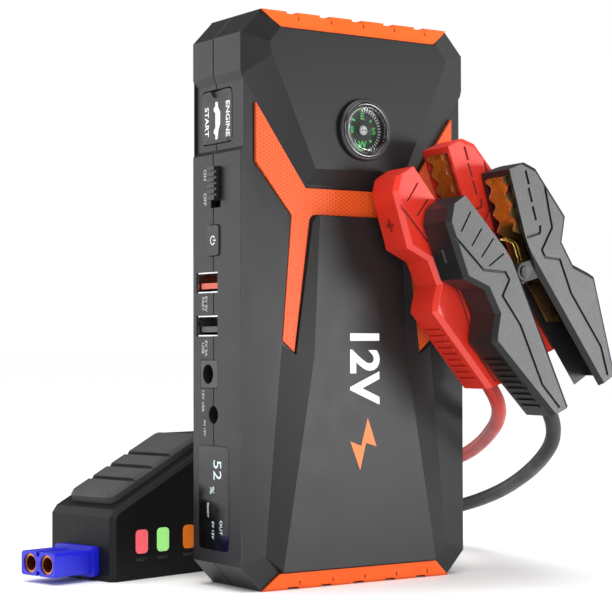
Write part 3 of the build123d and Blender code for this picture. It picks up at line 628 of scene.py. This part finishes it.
def refined(nodes: dict[str, Piece], node: str, finish: Finish, body: Body,
            trim: Finish | None = None, trimmed: Callable[[bmesh.types.BMFace], bool] | None = None
            ) -> Piece:
    """A finished, joined-up copy of a CAD node that keeps its hard edges, in the node's place.

    Args:
        nodes: The frame's nodes.
        node: The node's name.
        finish: The finish it gets.
        body: The body it rides on.
        trim: A second finish for some of its faces.
        trimmed: Picks the faces that get the second finish.

    Returns:
        The object that stands for the node.
    """
    source = nodes[node].data
    hard = mark_surface_borders(source)
    shape = bmesh.new()
    shape.from_mesh(source)
    bmesh.ops.remove_doubles(shape, verts=shape.verts[:], dist=0.0005 * MM)
    for edge in shape.edges:
        ends = sorted(tuple(round(c, 7) for c in v.co) for v in edge.verts)
        edge.smooth = tuple(ends) not in hard
    if trim and trimmed:
        chosen = {face.index for face in shape.faces if trimmed(face)}
    else:
        chosen = set()
    piece = finished(node + "_skin", shape, finish, body, sharp_deg=0.0, recalculate=False)
    if chosen:
        piece.data.materials.append(trim.material())
        for index in chosen:
            piece.data.polygons[index].material_index = 1
    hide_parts(node)
    return piece


def carried(nodes: dict[str, Piece], finishes: dict[str, Finish]) -> None:
    """Give CAD nodes that stay as they are their detailed materials.

    Args:
        nodes: The frame's nodes.
        finishes: Finish by node name.
    """
    for name, finish in finishes.items():
        for slot in nodes[name].material_slots:
            slot.material = finish.material()
        LOG.info("node %s carried over in %s", name, finish.name)


def curve_shape(curve: bpy.types.Curve, merge: float) -> Shape:
    """The surface of a curve or a word as a bmesh.

    Args:
        curve: The curve or text.
        merge: Points closer than this are joined.

    Returns:
        The surface, in the curve's own coordinates.
    """
    carrier = into_scene(curve.name, curve)
    bpy.context.view_layer.update()
    mesh = bpy.data.meshes.new_from_object(carrier.evaluated_get(bpy.context.evaluated_depsgraph_get()))
    bpy.data.objects.remove(carrier)
    shape = bmesh.new()
    shape.from_mesh(mesh)
    bpy.data.meshes.remove(mesh)
    bmesh.ops.remove_doubles(shape, verts=shape.verts[:], dist=merge * MM)
    return shape


def lettering(name: str, text: str, height: float, place: Matrix, finish: Finish, body: Body,
              bold: float = 0.0, spacing: float = 1.0) -> Piece:
    """Raised print of a word, centred on its place.

    Args:
        name: The piece's name.
        text: The characters.
        height: Height of a capital letter.
        place: Where the word's middle goes.
        finish: The ink.
        body: The body it rides on.
        bold: Extra stroke width.
        spacing: Letter spacing, 1 is normal.

    Returns:
        The object.
    """
    curve = bpy.data.curves.new(name + "_outline", "FONT")
    curve.body = text
    curve.size = height / CAPITAL_SHARE * MM
    curve.align_x = "CENTER"
    curve.align_y = "CENTER"
    curve.space_character = spacing
    curve.offset = bold / 2 * MM
    curve.extrude = PRINT_MM / 2 * MM
    curve.resolution_u = 4
    return finished(name, placed(curve_shape(curve, 0.0005), place), finish, body)


def add_plate(shape: Shape, outline: Sequence[Flat], thickness: float = PRINT_MM) -> None:
    """Add a thin flat plate of the outline given, lying on local z = 0.

    Args:
        shape: The bmesh to add to.
        outline: Corners in mm, in order.
        thickness: Plate thickness.
    """
    corners = [shape.verts.new((x * MM, y * MM, 0.0)) for x, y in outline]
    face = shape.faces.new(corners)
    raised = bmesh.ops.extrude_face_region(shape, geom=[face])
    lifted = [item for item in raised["geom"] if isinstance(item, bmesh.types.BMVert)]
    bmesh.ops.translate(shape, verts=lifted, vec=(0.0, 0.0, thickness * MM))


def add_stroke(shape: Shape, start: Flat, end: Flat, width: float, thickness: float = PRINT_MM) -> None:
    """Add a straight bar between two points.

    Args:
        shape: The bmesh to add to.
        start: One end in mm.
        end: The other end in mm.
        width: Bar width.
        thickness: Bar thickness.
    """
    along = Vector((end[0] - start[0], end[1] - start[1], 0.0)).normalized()
    side = Vector((-along.y, along.x, 0.0)) * width / 2
    corners = [Vector((*start, 0.0)) - side, Vector((*end, 0.0)) - side,
               Vector((*end, 0.0)) + side, Vector((*start, 0.0)) + side]
    add_plate(shape, [(c.x, c.y) for c in corners], thickness)


def add_ring(shape: Shape, centre: Flat, radius: float, width: float, start_deg: float = 0.0,
             sweep_deg: float = 360.0, thickness: float = PRINT_MM) -> None:
    """Add a flat ring or part of one by spinning its section.

    Args:
        shape: The bmesh to add to.
        centre: Middle of the ring in mm.
        radius: Its mean radius.
        width: Its width.
        start_deg: Where a part ring starts.
        sweep_deg: How far it goes round.
        thickness: Its thickness.
    """
    full = sweep_deg >= 360.0
    middle = Vector((centre[0] * MM, centre[1] * MM, 0.0))
    turn = Matrix.Rotation(math.radians(start_deg), 4, "Z")
    section = []
    for reach, lift in ((radius - width / 2, 0), (radius + width / 2, 0), (radius + width / 2, thickness),
                        (radius - width / 2, thickness)):
        section.append(shape.verts.new(middle + turn @ Vector((reach * MM, 0.0, lift * MM))))
    face = shape.faces.new(section)
    geom = [face, *face.edges, *face.verts]
    bmesh.ops.spin(shape, geom=geom, cent=middle, axis=(0, 0, 1), angle=math.radians(sweep_deg),
                   steps=max(8, int(sweep_deg / 10)), use_merge=full, use_normal_flip=False,
                   use_duplicate=False)
    if full:
        bmesh.ops.delete(shape, geom=[face], context="FACES_ONLY")


def add_disc(shape: Shape, centre: Flat, radii: Flat, heights: Flat, segments: int,
             turn_deg: float = 0.0) -> None:
    """Add a plug about local Z, straight or tapered.

    Args:
        shape: The bmesh to add to.
        centre: Its middle in mm.
        radii: Its radius below and above.
        heights: Where it starts and ends along local Z.
        segments: Sides of its outline.
        turn_deg: Turn of the outline.
    """
    low, high = heights
    middle = Matrix.Translation((centre[0] * MM, centre[1] * MM, (low + high) / 2 * MM))
    turned = middle @ Matrix.Rotation(math.radians(turn_deg), 4, "Z")
    bmesh.ops.create_cone(shape, cap_ends=True, segments=segments, radius1=radii[0] * MM,
                          radius2=radii[1] * MM, depth=(high - low) * MM, matrix=turned)


def repeat_round(shape: Shape, count: int) -> None:
    """Copy everything in a bmesh round local Z, evenly spaced.

    Args:
        shape: The bmesh.
        count: How many there are in the end.
    """
    everything = shape.faces[:] + shape.edges[:] + shape.verts[:]
    bmesh.ops.spin(shape, geom=everything, cent=(0, 0, 0), axis=(0, 0, 1),
                   angle=math.tau * (count - 1) / count, steps=count - 1, use_duplicate=True)


def placed(shape: Shape, place: Matrix) -> Shape:
    """Move everything in a bmesh by a placing matrix and hand it back."""
    bmesh.ops.transform(shape, matrix=place, verts=shape.verts[:])
    return shape


def round_curve(name: str, points: Sequence[Vector], radius: float, steps: int,
                facets: int) -> bpy.types.Curve:
    """A smooth curve with a round section.

    Args:
        name: The curve's name.
        points: Control points in metres.
        radius: Radius of the section.
        steps: Steps along each stretch between points.
        facets: Fineness of the section.

    Returns:
        The curve.
    """
    curve = bpy.data.curves.new(name, "CURVE")
    curve.dimensions = "3D"
    curve.bevel_depth = radius * MM
    curve.bevel_resolution = facets
    curve.use_fill_caps = True
    curve.resolution_u = steps
    spline = curve.splines.new("NURBS")
    spline.points.add(len(points) - 1)
    for point, place in zip(spline.points, points):
        point.co = (*place, 1.0)
    spline.order_u = 3
    spline.use_endpoint_u = True
    return curve


def wire(name: str, points: Sequence[Vector], radius: float, finish: Finish, body: Body) -> Piece:
    """A smooth round wire through a few control points, as a mesh.

    Args:
        name: The piece's name.
        points: Control points in metres.
        radius: Wire radius.
        finish: Its finish.
        body: The body it rides on.

    Returns:
        The object.
    """
    curve = round_curve(name + "_line", points, radius, 8, 3)
    return finished(name, curve_shape(curve, 0.001), finish, body)


# ------------------------------------------------------------------ sub-assemblies
@dataclass
class PowerUnit:
    """The upright unit: covers, bumpers, inlay and the printed marks on its front."""

    nodes: dict[str, Piece]
    front_face: float = -17.8
    mark_centre: Flat = (0.7, 62.0)
    letter_height: float = 11.6
    word_rise: float = 10.5
    bolt_drop: float = 16.0

    def build(self) -> None:
        """Build every piece of the unit's shell and dress its inner parts."""
        for name, finish in (("front_cover", COVER), ("rear_cover", COVER), ("bottom_bumper", BUMPER),
                             ("top_bumper", BUMPER), ("front_inlay", INLAY)):
            refined(self.nodes, name, finish, Body.UNIT)
        carried(self.nodes, {"cover_screws": NICKEL, "main_board": BOARD, "battery_cells": CELL_FILM})
        self.front_mark()

    def front_mark(self) -> None:
        """A plain voltage mark and a lightning bolt, read downwards."""
        x, z = self.mark_centre
        face = self.front_face - PRINT_LIFT
        word_place = Facing.FRONT_DOWNWARD.at(x, face, z + self.word_rise)
        lettering("front_mark_voltage", "12V", self.letter_height, word_place, WHITE_INK, Body.UNIT, bold=0.9)
        bolt = bmesh.new()
        add_plate(bolt, [(-8.6, 1.8), (0.9, 5.3), (-0.4, 1.0), (8.6, -1.4), (-1.0, -5.3), (0.6, -0.9)])
        bolt_place = Facing.FRONT_DOWNWARD.at(x, face, z - self.bolt_drop)
        finished("front_mark_bolt", placed(bolt, bolt_place), ORANGE_INK, Body.UNIT)


@dataclass
class Compass:
    """The compass under its domed lens, with a printed card that turns."""

    nodes: dict[str, Piece]
    centre: Flat = (1.0, 150.0)
    card_face: float = -16.2
    cap_base: float = -16.82
    letter_radius: float = 4.7
    letter_height: float = 2.3
    tick_radius: float = 6.9
    tick_length: float = 1.2
    ticks: int = 44

    def build(self) -> None:
        """Dress the compass and print its card."""
        refined(self.nodes, "compass_housing", BLACK_ABS, Body.UNIT)
        carried(self.nodes, {"compass_bezel": DARK_CHROME, "compass_lens": LENS, "compass_card": CARD,
                             "compass_pivot": BRASS})
        place = Facing.FRONT_UPRIGHT.at(self.centre[0], self.card_face - PRINT_LIFT, self.centre[1])
        self.print_ticks(place)
        for letter, turn in (("E", 90), ("S", 0), ("W", -90), ("N", 180)):
            angle = math.radians(turn)
            offset = Matrix.Translation((math.cos(angle) * self.letter_radius * MM,
                                         math.sin(angle) * self.letter_radius * MM, 0.0))
            lettering(f"card_letter_{letter.lower()}", letter, self.letter_height, place @ offset, GREEN_INK,
                      Body.CARD, bold=0.12)
        self.cap()

    def print_ticks(self, place: Matrix) -> None:
        """White degree ticks round the card's rim and green bars between the letters.

        Args:
            place: The card's placing matrix.
        """
        ticks = bmesh.new()
        add_stroke(ticks, (self.tick_radius - self.tick_length / 2, 0.0),
                   (self.tick_radius + self.tick_length / 2, 0.0), 0.42)
        repeat_round(ticks, self.ticks)
        finished("card_ticks", placed(ticks, place), WHITE_INK, Body.CARD)
        bars = bmesh.new()
        add_stroke(bars, (3.0, 3.0), (3.7, 3.7), 0.6)
        repeat_round(bars, 4)
        finished("card_bars", placed(bars, place), GREEN_INK, Body.CARD)

    def cap(self) -> None:
        """The white cap over the pivot, with two dark dots."""
        place = Facing.FRONT_UPRIGHT.at(self.centre[0], self.cap_base, self.centre[1])
        cap = bmesh.new()
        add_disc(cap, (0.0, 0.0), (1.6, 1.2), (0.0, 0.5), 32)
        finished("card_cap", placed(cap, place), WHITE_INK, Body.CARD)
        dots = bmesh.new()
        for offset in (-0.5, 0.5):
            add_disc(dots, (offset, 0.0), (0.3, 0.3), (0.5, 0.54), 16)
        finished("card_cap_dots", placed(dots, place), DARK_INK, Body.CARD)


@dataclass
class PortSide:
    """The left narrow side: start flap, switch, power button, sockets and display."""

    nodes: dict[str, Piece]
    skin: float = -45.2
    flap_face: float = -44.05
    flap_print_height: float = 152.3
    button_centre: Flat = (1.5, 112.95)
    button_rise: float = 0.51
    window_rise: float = 0.06
    words: tuple[tuple[str, str, float, float, float], ...] = (
        ("label_on", "ON", 1.7, 7.3, 134.7), ("label_off", "OFF", 1.7, 7.3, 126.7),
        ("label_fast_port", "FAST", 1.5, 8.6, 92.4), ("label_fast_volts", "5V 9V", 1.5, 6.6, 92.4),
        ("label_port", "USB", 1.5, 8.6, 77.8), ("label_port_volts", "5V 2A", 1.5, 6.6, 77.8),
        ("label_dc_out", "12V 10A", 1.5, 8.6, 60.6), ("label_dc_in", "IN 15V", 1.3, 7.6, 51.6),
    )

    def build(self) -> None:
        """Build the flap and controls, dress the sockets and print the side."""
        refined(self.nodes, "start_flap", FLAP_RUBBER, Body.FLAP)
        refined(self.nodes, "slide_knob", BLACK_ABS, Body.KNOB)
        refined(self.nodes, "power_button", FLAP_RUBBER, Body.BUTTON)
        carried(self.nodes, {
            "start_flap_pin": NICKEL, "start_socket": BLACK_ABS, "start_socket_contacts": CONTACT,
            "slide_switch_body": BLACK_ABS, "power_switch": BLACK_ABS, "usb_fast_shell": NICKEL,
            "usb_fast_tongue": TONGUE_ORANGE, "usb_standard_shell": NICKEL, "usb_standard_tongue": TONGUE,
            "dc_out_jack": BLACK_ABS, "dc_in_jack": BLACK_ABS, "dc_pins": NICKEL, "display_window": WINDOW,
            "display_module": BLACK_ABS,
        })
        for name, text, height, y, z in self.words:
            place = Facing.LEFT_DOWNWARD.at(self.skin - PRINT_LIFT, y, z)
            lettering(name, text, height, place, GREY_INK, Body.UNIT, bold=0.06)
        self.flap_print()
        self.power_mark()
        self.display_print()

    def flap_print(self) -> None:
        """Two lines of lettering with a car between them."""
        face = self.flap_face - PRINT_LIFT
        for name, text, y in (("flap_word_engine", "ENGINE", -5.2), ("flap_word_start", "START", 8.0)):
            place = Facing.LEFT_DOWNWARD.at(face, y, self.flap_print_height)
            lettering(name, text, 2.4, place, WHITE_INK, Body.FLAP, bold=0.12)
        car = bmesh.new()
        add_plate(car, [(-6.0, -1.0), (6.2, -1.0), (6.2, 0.3), (3.2, 0.9), (1.2, 2.0), (-2.6, 2.0),
                        (-4.2, 0.7), (-6.0, 0.5)])
        for x in (-3.6, 3.6):
            add_disc(car, (x, -1.0), (1.0, 1.0), (0.0, 0.06), 20)
        place = Facing.LEFT_DOWNWARD.at(face, 1.4, self.flap_print_height)
        finished("flap_car", placed(car, place), WHITE_INK, Body.FLAP)

    def power_mark(self) -> None:
        """The ring and bar on the power button."""
        mark = bmesh.new()
        add_ring(mark, (0.0, 0.0), 1.35, 0.36, 120.0, 300.0)
        add_stroke(mark, (0.0, 0.3), (0.0, 2.0), 0.36)
        place = Facing.LEFT_DOWNWARD.at(self.skin - self.button_rise, *self.button_centre)
        finished("power_mark", placed(mark, place), WHITE_INK, Body.BUTTON)

    def display_print(self) -> None:
        """Lit figures and small words behind the window's face."""
        face = self.skin - self.window_rise
        for name, text, height, y, z in (
                ("display_figures", "52", 5.0, -0.2, 38.3), ("display_percent", "%", 2.8, 3.0, 31.6),
                ("display_out", "OUT", 1.6, -2.6, 19.8), ("display_volts", "5V 12V", 1.4, 2.4, 18.7),
                ("display_state", "READY", 1.1, 5.5, 25.0)):
            lettering(name, text, height, Facing.LEFT_DOWNWARD.at(face, y, z), DISPLAY_LIGHT, Body.UNIT)


@dataclass
class Torch:
    """The torch in the other narrow side."""

    nodes: dict[str, Piece]
    centre: Point = (34.9, -0.5, 153.4)

    def build(self) -> None:
        """Dress lens and reflector and add the lamp chip."""
        carried(self.nodes, {"torch_lens": LENS, "torch_reflector": CHROME})
        chip = bmesh.new()
        add_disc(chip, (0.0, 0.0), (1.3, 1.1), (-0.25, 0.25), 4, 45.0)
        bmesh.ops.bevel(chip, geom=chip.edges[:], offset=0.1 * MM, offset_type="OFFSET", affect="EDGES",
                        segments=2, profile=0.5, material=-1)
        place = Matrix.Translation(Vector(self.centre) * MM) @ Matrix.Rotation(math.radians(90), 4, "Y")
        finished("torch_chip", placed(chip, place), CHIP, Body.UNIT)


@dataclass
class ClampModule:
    """The wedge-shaped module with three lamps, its plug and its lead sleeves."""

    nodes: dict[str, Piece]
    corner: Point = (-66.6, 31.4, 0.0)
    turn_deg: float = 12.65
    lamp_places: tuple[float, ...] = (12.7, 22.3, 34.3)
    word_height: float = 6.6

    def build(self) -> None:
        """Build the case and plug, dress the small parts and print the lamp words."""
        for name, finish in (("module_front_shell", MODULE_CASE), ("module_rear_shell", MODULE_CASE),
                             ("module_grip_pad", PAD_RUBBER), ("plug_body", PLUG_BLUE)):
            refined(self.nodes, name, finish, Body.UNIT)
        carried(self.nodes, {
            "module_lamp_red": RED_LAMP, "module_lamp_green": GREEN_LAMP, "module_lamp_amber": AMBER_LAMP,
            "module_board": BOARD, "plug_contacts": CONTACT, "red_lead_sleeve": SLEEVE_RUBBER,
            "black_lead_sleeve": SLEEVE_RUBBER,
        })
        turn = math.radians(self.turn_deg)
        along = Vector((math.cos(turn), math.sin(turn), 0.0))
        out = Vector((math.sin(turn), -math.cos(turn), 0.0))
        for text, place in zip(("FAULT", "READY", "BOOST"), self.lamp_places):
            rise = Vector((0, 0, self.word_height))
            origin = (Vector(self.corner) + along * place + rise + out * PRINT_LIFT) * MM
            word_place = axes_matrix(origin, along, Vector((0, 0, 1)), out)
            lettering(f"module_word_{text.lower()}", text, 1.1, word_place, DIM_INK, Body.UNIT)


@dataclass
class Lead:
    """One insulated lead from the module round to a clamp's handle."""

    name: str
    finish: Finish
    route: tuple[Point, ...]
    length_mm: float
    radius: float = 2.55

    def build(self) -> Piece:
        """Lay the lead along its route as one smooth spline.

        Returns:
            The lead's curve object.
        """
        points = [Vector(place) * MM for place in self.route]
        curve = round_curve(self.name + "_jacket", points, self.radius, 16, 6)
        curve.materials.append(self.finish.material())
        lead = into_scene(self.name + "_jacket", curve)
        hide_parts(self.name)
        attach(lead, Body.UNIT.value)
        LOG.info("lead %s, %.0f mm", self.name, self.length_mm)
        return lead


@dataclass
class SpringClamp:
    """One spring clamp: two shells, two toothed jaws, the pin and its spring."""

    nodes: dict[str, Piece]
    colour: str
    shell_finish: Finish
    plate_finish: Finish
    mark_finish: Finish
    jaw_body: Body
    pivot: Point
    half_opening_deg: float
    positive: bool
    yaw_deg: float = 8.0
    tilt_deg: float = 28.5
    half_width: float = 8.5
    upper_edge: tuple[Flat, Flat] = ((-19.6, 13.6), (-12.6, 31.4))
    lower_edge: tuple[Flat, Flat] = ((-24.4, -41.2), (-25.2, -8.4))
    rib_count: int = 9
    rib_pitch: float = 2.6
    spring_radius: float = 0.45

    def plane(self, turned_deg: float, x: float = 0.0, y: float = 0.0) -> Matrix:
        """The working plane of one half, moved to a point on it.

        Args:
            turned_deg: The half's turn about the hinge axis.
            x: Across the clamp, to the right.
            y: Towards the jaw tips.

        Returns:
            The placing matrix.
        """
        yaw, tilt, angle = (math.radians(v) for v in (self.yaw_deg, self.tilt_deg, turned_deg))
        across = Vector((math.cos(yaw), -math.sin(yaw), 0.0))
        hinge = Vector((math.sin(yaw), math.cos(yaw), 0.0))
        opening = across * math.cos(tilt) + Vector((0, 0, math.sin(tilt)))
        jaw = Vector((0, 0, math.cos(tilt))) - across * math.sin(tilt)
        right = opening * math.cos(angle) + jaw * math.sin(angle)
        out = -hinge
        up = out.cross(right)
        origin = (Vector(self.pivot) + right * x + up * y) * MM
        return axes_matrix(origin, right, up, out)

    def build(self) -> None:
        """Build the shells and jaws, the spring's legs and the marks."""
        for part, body in (("fixed", Body.UNIT), ("moving", self.jaw_body)):
            refined(self.nodes, f"{self.colour}_{part}_shell", self.shell_finish, body, self.plate_finish,
                    self.faces_sideways)
            refined(self.nodes, f"{self.colour}_{part}_jaw", COPPER, body)
        carried(self.nodes, {f"{self.colour}_pivot_pin": GUNMETAL, f"{self.colour}_spring": SPRING})
        self.spine_detail()
        self.spring_legs()

    def faces_sideways(self, face: bmesh.types.BMFace) -> bool:
        """Whether a face lies on the outer plane of one of the two side plates.

        Args:
            face: A face of one of the shells.

        Returns:
            True on the side plates, False in their grooves and everywhere else.
        """
        yaw = math.radians(self.yaw_deg)
        hinge = Vector((math.sin(yaw), math.cos(yaw), 0.0))
        reach = (face.calc_center_median() / MM - Vector(self.pivot)).dot(hinge)
        return abs(face.normal.dot(hinge)) > 0.95 and abs(reach) > self.half_width - 0.05

    def edge_plane(self, start: Flat, end: Flat, share: float) -> Matrix:
        """A plane lying on the outer edge of the fixed half, with its X up along the edge.

        Args:
            start: The edge's lower corner in the half's own coordinates.
            end: Its upper corner.
            share: How far along the edge the plane sits, 0 to 1.

        Returns:
            The placing matrix.
        """
        x, y = (a + (b - a) * share for a, b in zip(start, end))
        spine = self.plane(self.half_opening_deg, x, y)
        right, up, out = (spine.to_3x3().col[i] for i in range(3))
        run = Vector((end[0] - start[0], end[1] - start[1])).normalized()
        along = right * run.x + up * run.y
        face = right * -run.y + up * run.x
        return axes_matrix(spine.translation + face * 0.02 * MM, along, face.cross(along), face)

    def spine_detail(self) -> None:
        """The raised polarity sign on the upper spine and a ladder of grip ribs on the lower one."""
        sign = bmesh.new()
        add_stroke(sign, (-2.2, 0.0), (2.2, 0.0), 1.1, 0.2)
        if self.positive:
            add_stroke(sign, (0.0, -2.2), (0.0, -0.56), 1.1, 0.2)
            add_stroke(sign, (0.0, 0.56), (0.0, 2.2), 1.1, 0.2)
        place = self.edge_plane(*self.upper_edge, 0.42)
        finished(f"{self.colour}_polarity_sign", placed(sign, place), self.mark_finish, Body.UNIT)
        ribs = bmesh.new()
        for step in range(self.rib_count):
            rib = self.rib_pitch * (step - self.rib_count // 2)
            add_stroke(ribs, (rib, -5.0), (rib, 5.0), 0.9, 0.35)
        place = self.edge_plane(*self.lower_edge, 0.45)
        finished(f"{self.colour}_grip_ribs", placed(ribs, place), self.shell_finish, Body.UNIT)

    def spring_legs(self) -> None:
        """Two wire legs of the spring that reach up between the jaws."""
        plane = self.plane(-self.half_opening_deg)
        for side, shift in (("left", -1.3), ("right", 0.0)):
            points = [plane @ (Vector((x + shift, y, -0.4)) * MM) for x, y in
                      ((4.8, -0.2), (3.8, 4.6), (3.8, 8.5), (2.8, 10.4), (-0.8, 11.8))]
            wire(f"{self.colour}_spring_leg_{side}", points, self.spring_radius, SPRING, self.jaw_body)


@dataclass
class Studio:
    """The plain floor, soft light and the camera."""

    camera_at: Point = (-342.5, -492.0, 77.9)
    looks_along: Point = (0.5597, 0.8284, 0.0236)
    roll_deg: float = -0.14
    lens: float = 103.9
    floor_size_m: float = 60.0

    def build(self) -> None:
        """Set up camera, lights and floor."""
        self.place_camera()
        self.place_lights()
        self.lay_floor()

    def place_camera(self) -> None:
        """The main view."""
        camera = bpy.data.cameras.new("main_view")
        camera.lens = self.lens
        camera.sensor_width = 36.0
        camera.clip_start = 0.01
        holder = into_scene("main_view", camera)
        forward = Vector(self.looks_along).normalized()
        roll = Matrix.Rotation(math.radians(self.roll_deg), 3, "Z")
        turn = forward.to_track_quat("-Z", "Y").to_matrix() @ roll
        holder.matrix_world = Matrix.Translation(Vector(self.camera_at) * MM) @ turn.to_4x4()
        bpy.context.scene.camera = holder

    def place_lights(self) -> None:
        """Even white surroundings, a soft sun, and two soft boxes that edge the dark plastic."""
        scene = bpy.context.scene
        scene.view_settings.view_transform = "Standard"
        world = bpy.data.worlds.new("studio_white")
        world.use_nodes = True
        tree = world.node_tree
        tree.nodes.clear()
        path = add_node(tree, "LightPath")
        lit = add_node(tree, "Background", {"Color": linear("#FBFCFF"), "Strength": 0.19})
        seen = add_node(tree, "Background", {"Color": linear("#FFFFFF"), "Strength": 1.0})
        mixed = add_node(tree, "MixShader", links={0: path.outputs["Is Camera Ray"], 1: lit.outputs[0],
                                                   2: seen.outputs[0]})
        add_node(tree, "OutputWorld", links={"Surface": mixed.outputs[0]})
        scene.world = world
        sun = bpy.data.lights.new("soft_sun", "SUN")
        sun.energy = 3.15
        sun.angle = math.radians(60)
        holder = into_scene("soft_sun", sun)
        holder.rotation_euler = Vector((0.15, 0.1, -1.0)).to_track_quat("-Z", "Y").to_euler()
        self.soft_box("side_box", (-620, 760, 330), (0, 0, 90), (700, 900), 4.5)
        self.soft_box("front_box", (360, -620, 75), (-5, -15, 80), (220, 150), 2.4)
        self.soft_box("clamp_box", (-420, -640, 330), (45, -45, 110), (260, 260), 1.8)
        self.soft_box("right_box", (760, -330, 420), (20, 0, 100), (500, 700), 2.0)

    @staticmethod
    def soft_box(name: str, at: Point, aim: Point, size: Flat, watts: float) -> None:
        """One rectangular soft light.

        Args:
            name: The light's name.
            at: Its place in mm.
            aim: The point it faces in mm.
            size: Width and height in mm.
            watts: Its power.
        """
        light = bpy.data.lights.new(name, "AREA")
        light.shape = "RECTANGLE"
        light.size, light.size_y = size[0] * MM, size[1] * MM
        light.energy = watts
        holder = into_scene(name, light)
        holder.location = Vector(at) * MM
        holder.rotation_euler = (Vector(aim) - Vector(at)).to_track_quat("-Z", "Y").to_euler()

    def lay_floor(self) -> None:
        """A plain pale floor just under the object."""
        shape = bmesh.new()
        bmesh.ops.create_grid(shape, x_segments=4, y_segments=4, size=self.floor_size_m / 2)
        mesh = bpy.data.meshes.new("floor")
        shape.to_mesh(mesh)
        shape.free()
        mesh.materials.append(FLOOR.material())
        into_scene("floor", mesh)


RED_ROUTE = (
    (26.1, 63.5, 20.0), (41.0, 66.9, 19.4), (60.0, 67.5, 22.0), (78.0, 57.5, 28.5), (86.3, 36.0, 36.2),
    (76.5, 14.5, 41.6), (65.5, -5.0, 47.0), (55.6, -21.5, 52.4), (48.0, -31.2, 58.4), (41.4, -33.6, 65.4),
    (36.0, -32.5, 73.0),
)
BLACK_ROUTE = (
    (23.5, 75.2, 9.0), (40.0, 79.1, 8.2), (62.0, 81.0, 6.6), (83.0, 72.0, 9.4), (95.1, 49.0, 15.6),
    (89.5, 20.0, 22.8), (77.5, -9.0, 31.2), (65.8, -33.0, 39.6), (59.0, -46.8, 47.6), (52.4, -52.2, 56.6),
    (46.2, -51.8, 64.6),
)


def main(frame: dict[str, Any]) -> None:
    """Build the whole object round the frame.
    """
    nodes = frame["nodes"]
    Studio().build()
    Lead("red_lead", RED_JACKET, RED_ROUTE, 177.5).build()
    Lead("black_lead", BLACK_JACKET, BLACK_ROUTE, 216.3).build()
    PowerUnit(nodes).build()
    Compass(nodes).build()
    PortSide(nodes).build()
    Torch(nodes).build()
    ClampModule(nodes).build()
    SpringClamp(nodes, "red", CLAMP_RED, CLAMP_RED, DARK_RED_INK, Body.RED_JAW,
                (30.3, -31.7, 111.5), 9.5, True).build()
    SpringClamp(nodes, "black", CLAMP_BLACK, CLAMP_PLATE, DIM_INK, Body.BLACK_JAW,
                (38.2, -50.6, 102.4), 13.0, False).build()


if __name__ == "__main__":
    logging.basicConfig(level=logging.INFO, format="%(levelname)s %(message)s")
    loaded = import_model()
    main(loaded)
